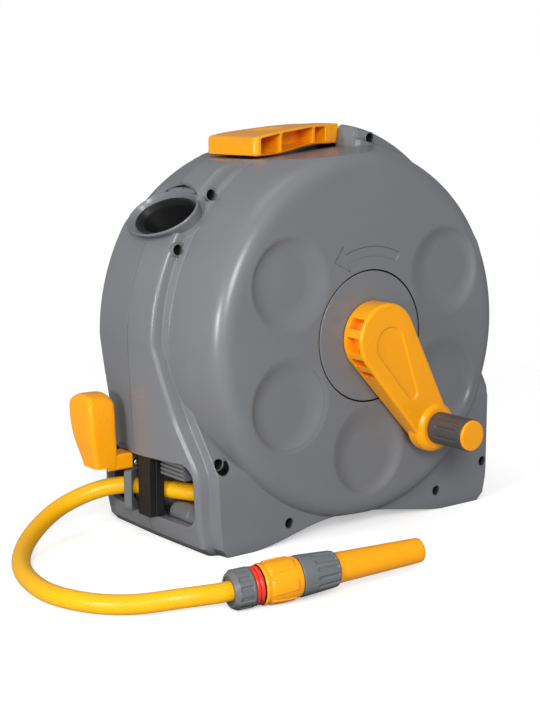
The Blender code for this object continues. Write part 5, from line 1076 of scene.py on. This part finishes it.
# Cross-head screw that looks to the front: a pan head with a cross sunk in it
def crossScrew(name, x, z, body, node):
    s = screws[body]
    head, high, shank, long = (s[key] for key in ("head", "high", "shank", "long"))
    line = [(head * math.sin(t), high * (0.35 + 0.65 * math.cos(t))) for t in np.linspace(0, math.pi / 2, 9)]
    line += [(head, 0), (shank, 0), (shank, -long), (0, -long)]
    matrix = aimed((x, s["seat"], z), (0, -1, 0))
    piece = turnedBody(name, line, matrix, 48)
    for turn in (0.4, 0.4 + math.pi / 2):
        wide, reach = head * 0.13, head * 0.62
        rings = [[(u * s, v * s, h) for u, v in ((-reach, -wide), (reach, -wide), (reach, wide), (-reach, wide))]
                 for h, s in ((high * 0.25, 0.7), (high * 1.2, 1.05))]
        spun = np.array(matrix @ Matrix.Rotation(turn, 4, "Z"))
        rings = np.array(rings) @ spun[:3, :3].T + spun[:3, 3]
        joined(piece, ringBody("cross", rings))
    dress(settled(piece), "steel", body, [node], angle=30)


post = {"left": -0.200, "right": -0.1835, "near": -0.018, "far": 0.003, "low": 0.0273, "high": 0.0887,
        "chamfer": 0.0075}
roller = {"x": -0.168, "y": -0.047, "hose": 0.050, "low": 0.017, "gap": 0.0003, "half": 0.027, "bevel": 0.0015,
          "groove": (0.004, 0.006, 0.0006)}      # start, end and depth of the groove round it
ribbedWall = {"low": (-0.190, -0.0615, 0.071), "high": (-0.1755, -0.022, 0.0887), "count": 4, "first": 0.0030,
              "step": 0.0040, "deep": 0.0012, "shape": (0.0003, 0.0014, 0.0017)}


# Post: its outline from above, with a slit in front, another at the left and a chamfer at the right, made upright
def makePost(p):
    left, right, near, far = (p[key] for key in ("left", "right", "near", "far"))
    line = [(left, near), (left + 0.006, near), (left + 0.0065, near + 0.0007), (left + 0.0073, near + 0.0007),
            (left + 0.0078, near), (right, near), (right, near + p["chamfer"] / 2), (right - p["chamfer"], far),
            (left, far), (left, near + 0.0115), (left + 0.0008, near + 0.0110), (left + 0.0008, near + 0.0102),
            (left, near + 0.0097)]
    dress(prism("guideBar", line, 2, (p["low"], p["high"])), "dark", "casing", ["guide_post"], angle=30)


# Roller under the hose: as thick as the room between the mouth's floor and the hose lets it be
def makeRoller(r, h):
    half, bevel, (start, end, deep) = r["half"], r["bevel"], r["groove"]
    rail = (r["hose"] - h["radius"] - r["gap"] - r["low"] - r["gap"]) / 2
    place = Matrix.Translation((r["x"], r["y"], r["low"] + r["gap"] + rail)) @ Matrix.Rotation(math.pi / 2, 4, "X")
    line = [(0, -half), (rail - bevel, -half), (rail, bevel - half), (rail, start), (rail - deep, start + deep),
            (rail - deep, end - deep), (rail, end), (rail, half - bevel), (rail - bevel, half), (0, half)]
    dress(turnedBody("guideRoller", roundCorners(line, [0.0008] * 8, 3), place, 96), "fitting", "casing",
          ["guide_rail"], angle=35)


# Ribbed wall above the roller: long shallow steps along the mouth
def makeRibbedWall(w):
    (front, left, low), (back, right, high) = w["low"], w["high"]
    line = [(front, low + 0.0005)]
    for k in range(w["count"]):
        z = low + w["first"] + w["step"] * k
        a, b, c = w["shape"]
        line += [(front, z), (front + w["deep"], z + a), (front + w["deep"], z + b), (front, z + c)]
    line += [(front, high), (back, high), (back, low), (front + 0.0006, low)]
    dress(prism("guideWall", line, 1, (left, right)), "fitting", "casing", ["guide_shelf"], angle=30)


makeLever(lever)
makeGuideEye(guide)
makePost(post)
makeRoller(roller, hose)
makeRibbedWall(ribbedWall)
crossScrew("guideEyeScrew", *guide["screwAt"], "guide", "guide_screw")
for k, (x, z, _) in enumerate(casing["screws"], 1):
    crossScrew(f"halfScrew{k}", x, z, "casing", f"casing_screw_{k}")
print("guide and screws made")


# Nozzle cup
cup = {"wall": 0.002, "foot": 0.006, "steps": (0.004, 0.006, 0.008, 0.009, 0.010, 0.012, 0.016, 0.024, 0.036, 0.048)}


# Cup: the pocket's own stations drawn in by the gap, hollowed with a round foot inside
def makeCup(u, p, gap):
    deep, steps, foot, inner = p["stations"][-1][0], u["steps"], u["foot"], gap + u["wall"]
    holder = pocketBody("nozzleCup", p, [(-h, -gap, -gap) for h in (*steps, deep)])
    rows = [(0.01, inner)] + [(-h, inner) for h in steps[:-1]]
    rows += [(-deep + u["wall"] + foot - foot * math.sin(t), inner + foot * (1 - math.cos(t)))
             for t in np.radians((10, 30, 50, 70, 90))]
    joined(holder, pocketBody("cupHollow", p, [(high, -less, -less) for high, less in rows]))
    dress(settled(holder), "dark", "casing", ["nozzle_holster"], angle=35)


makeCup(cup, casing["pocket"], casing["gap"])


# Hose end: nut, ring, connector and nozzle
ends = {"nut": (0.0178, 0.0189), "tailHole": 0.0123, "hoseHole": 0.009, "inNut": 0.009, "ribs": 12, "ribDeep": 0.0012,
        "nutBack": ((0.0118, 0.0010), (0.0124, 0), (0.0146, 0), (0.0152, 0.0005)),
        "ring": (0.0172, 0.0192, 0.0276), "body": (0.020, 0.0279, 0.0639), "skirt": (0.0175, 0.005),
        "pads": 6, "padDeep": 0.0009, "collar": (0.0186, 0.0162, 0.0642, 0.1015), "grooves": 14, "grooveDeep": 0.0016,
        "barrel": (0.0138, 0.0112, 0.1018, 0.1898), "bore": 0.0083, "mouth": 0.0068, "neckEnd": 0.034}


# Fittings on the hose, all turned round one axis; radii and heights along it are in the dictionary
def makeEnds(e, h):
    place = nutMatrix(h)
    hole, steps = e["tailHole"], 288

    # square ribs along the nut: a smooth step up and down, fading out over the chamfer behind
    def ribs(height, turn, radius):
        wave = np.cos(turn * e["ribs"])
        rib = np.clip(0.5 + wave * 2.2, 0, 1)
        rib = rib * rib * (3 - 2 * rib)
        along = np.clip((height - 0.0035) / 0.0015, 0, 1) * np.clip((e["nut"][1] - 0.0024 - height) / 0.0008, 0, 1)
        return -(1 - rib) * e["ribDeep"] * along * (radius > 0.0150)

    wide, long = e["nut"]
    line = [(e["hoseHole"], 0.0012), *e["nutBack"], (wide - 0.0006, 0.0036)]
    for low, high, count in ((0.0042, long - 0.0036, 12), (long - 0.0032, long - 0.0010, 8)):
        line += [(wide, z) for z in np.linspace(low, high, count)]
    line += [(wide - 0.0002, long - 0.0004), (wide - 0.0007, long), (hole, long), (hole, e["inNut"]),
             (e["hoseHole"], e["inNut"])]
    dress(turnedBody("ribbedNut", line, place, steps, ribs), "fitting", "casing", ["hose_nut"], angle=38)

    wide, start, end = e["ring"]
    t = np.radians(np.linspace(-75, 75, 11))
    half = (end - start) / 4
    line = [(hole, start)]
    for middle in (start + half, end - half):
        line += [(wide - 0.0016 + 0.0016 * math.cos(a), middle + half * math.sin(a)) for a in t]
    line += [(hole, end)]
    dress(turnedBody("signalRing", line, place, 144), "ring", "casing", ["connector_ring"], angle=50)

    wide, start, end = e["body"]

    # pads: raised fields that narrow towards the front, with soft sides
    def pads(height, turn, radius):
        s = (height - start) / (end - start)
        across = np.abs(((turn * e["pads"] / math.tau) % 1) - 0.5) * 2
        field = np.clip((0.80 - 0.34 * s - across) / 0.07, 0, 1) * np.clip((s - 0.16) / 0.04, 0, 1)
        field = field * np.clip((0.86 - s) / 0.04, 0, 1)
        field = field * field * (3 - 2 * field)
        return -(1 - field) * e["padDeep"] * np.clip((s - 0.06) / 0.06, 0, 1) * (radius > 0.0178)

    skirt, skirtLong = e["skirt"]
    s = np.linspace(0, 1, 44)
    bulge = wide - 0.0018 * (1 - s) ** 3 - 0.0013 * s ** 4
    line = [(skirt, start)] + [(r - 0.0004 * (k in (0, 43)), start + z * (end - start))
                               for k, (r, z) in enumerate(zip(bulge, s))]
    line += [(hole, end), (hole, start + skirtLong), (skirt, start + skirtLong)]
    dress(turnedBody("quickBody", line, place, steps, pads), "accent", "release", ["connector_body"], angle=40)

    wide, tip, start, end = e["collar"]

    # grooves with round bottoms from a third of the way to the front edge
    def grooves(height, turn, radius):
        s = (height - start) / (end - start)
        across = np.abs(((turn * e["grooves"] / math.tau) % 1) - 0.5) * math.tau * wide / e["grooves"]
        dip = np.clip(1 - (across / 0.0024) ** 2, 0, 1)
        along = np.clip((s - 0.34) / 0.10, 0, 1) * np.clip((0.97 - s) / 0.05, 0, 1)
        return -dip * e["grooveDeep"] * along * along * (3 - 2 * along) * (radius > 0.0150)

    s = np.linspace(0, 1, 48)
    bulge = wide + (tip - wide) * s ** 1.2 - 0.0012 * np.clip((s - 0.90) / 0.10, 0, 1) ** 3
    line = [(hole, start)] + [(r - 0.0004 * (k in (0, 47)), start + z * (end - start))
                              for k, (r, z) in enumerate(zip(bulge, s))] + [(hole, end)]
    dress(turnedBody("sprayCollar", line, place, steps, grooves), "fitting", "casing", ["nozzle_collar"], angle=40)

    root, tip, start, end = e["barrel"]
    line = [(e["bore"], start), (root - 0.0004, start), (root, start + 0.0004)]
    line += [(root + (tip - root) * s, start + (end - start) * s) for s in np.linspace(0.05, 0.955, 12)]
    turn = np.radians(np.linspace(10, 90, 9))
    line += [(tip - 0.0022 + 0.0022 * math.cos(t), end - 0.0030 + 0.0030 * math.sin(t)) for t in turn]
    line += [(e["mouth"] + 0.0004, end), (e["mouth"], end - 0.0006), (e["bore"], start + e["neckEnd"])]
    dress(turnedBody("sprayBarrel", line, place, 144), "accent", "twist", ["nozzle_barrel"], angle=40)


makeEnds(ends, hose)
print("hose end made")


# Wound hose
winding = {"radius": 0.1312, "half": 0.0803, "loops": 9, "layer": 0.0155}


# Two layers of loops: a helix to the right outside, one to the left beneath it
def makeWinding(w, h, centre):
    for name, radius, hand in (("woundOuter", w["radius"], 1), ("woundInner", w["radius"] - w["layer"], -1)):
        t = np.linspace(0, 1, w["loops"] * 72 + 1)
        turn = t * w["loops"] * math.tau
        points = np.column_stack([radius * np.cos(turn), hand * w["half"] * (2 * t - 1),
                                  centre + radius * np.sin(turn)])
        coil, _ = hoseTube(name, points, h["radius"], 24)
        dress(coil, "hose", "drum", ["hose_winding"] if hand > 0 else (), weighted=False)


makeWinding(winding, hose, casing["axle"])
print("winding made")


# Finishes of what is shown as it was packed
for part in frame["record"]["subparts"]:
    node = frame["nodes"][part["node"]]
    node.data.materials.clear()
    node.data.materials.append(finishes[part["material_slot"]])

carried = [bpy.data.objects[name] for name in ("ribbedNut", "signalRing", "quickBody", "sprayCollar")]
carried += [frame["nodes"][name] for name in ("connector_tail", "connector_seal")]


# Floor, lamps and world
studio = {"floor": 0.42, "sky": 0.40, "mirrored": 0.26, "floorGlow": 0.42,
          "lamps": (("keyLamp", (-1.5, -2.1, 1.2), 1.0, 46), ("sideLamp", (-1.85, -0.60, 0.42), 0.35, 15),
                    ("topLamp", (-0.6, 0.2, 2.4), 1.2, 4))}


def makeStudio(s):
    mesh = bpy.data.meshes.new("floor")
    mesh.from_pydata([(x, y, 0) for x, y in ((-3, -3), (3, -3), (3, 3), (-3, 3))], [], [(0, 1, 2, 3)])
    floor = bpy.data.objects.new("floor", mesh)
    scene.collection.objects.link(floor)
    material, tree, shader = newMaterial("paleFloor")
    seen = newNode(tree, "ShaderNodeLightPath").outputs["Is Camera Ray"]
    # the floor fades out into the white background a metre from the object
    place = newNode(tree, "ShaderNodeTexCoord").outputs["Object"]
    away = newNode(tree, "ShaderNodeVectorMath", {0: place}, operation="LENGTH").outputs["Value"]
    feed(tree, shader, {"Base Color": mixColour(tree, seen, (s["floor"],) * 3 + (1,), (1, 1, 1, 1)),
                        "Roughness": 0.9, "Specular IOR Level": 0.1, "Emission Color": (1, 1, 1, 1),
                        "Emission Strength": maths(tree, "MULTIPLY", seen, s["floorGlow"]),
                        "Alpha": ranged(tree, away, 0.55, 1.1, 1.0, 0.0)})
    mesh.materials.append(material)

    world = bpy.data.worlds.new("studio")
    scene.world = world
    world.use_nodes = True
    tree = world.node_tree
    tree.nodes.clear()
    seen = newNode(tree, "ShaderNodeLightPath").outputs["Is Camera Ray"]
    glossy = newNode(tree, "ShaderNodeLightPath").outputs["Is Glossy Ray"]
    level = maths(tree, "MULTIPLY_ADD", glossy, s["mirrored"] - s["sky"], s["sky"])
    soft = newNode(tree, "ShaderNodeBackground", {"Color": (1, 1, 1, 1), "Strength": level})
    plain = newNode(tree, "ShaderNodeBackground", {"Color": (1, 1, 1, 1), "Strength": 1.0})
    both = newNode(tree, "ShaderNodeMixShader", {0: seen, 1: soft.outputs[0], 2: plain.outputs[0]})
    newNode(tree, "ShaderNodeOutputWorld", {0: both.outputs[0]})

    for name, place, size, power in s["lamps"]:
        data = bpy.data.lights.new(name, "AREA")
        data.shape, data.size, data.energy = "DISK", size, power
        lamp = bpy.data.objects.new(name, data)
        lamp.location = Vector(seam) + Vector(place)
        lamp.rotation_euler = (Vector((0, 0, 0.2)) - Vector(place)).to_track_quat("-Z", "Y").to_euler()
        scene.collection.objects.link(lamp)


makeStudio(studio)
print("studio set")
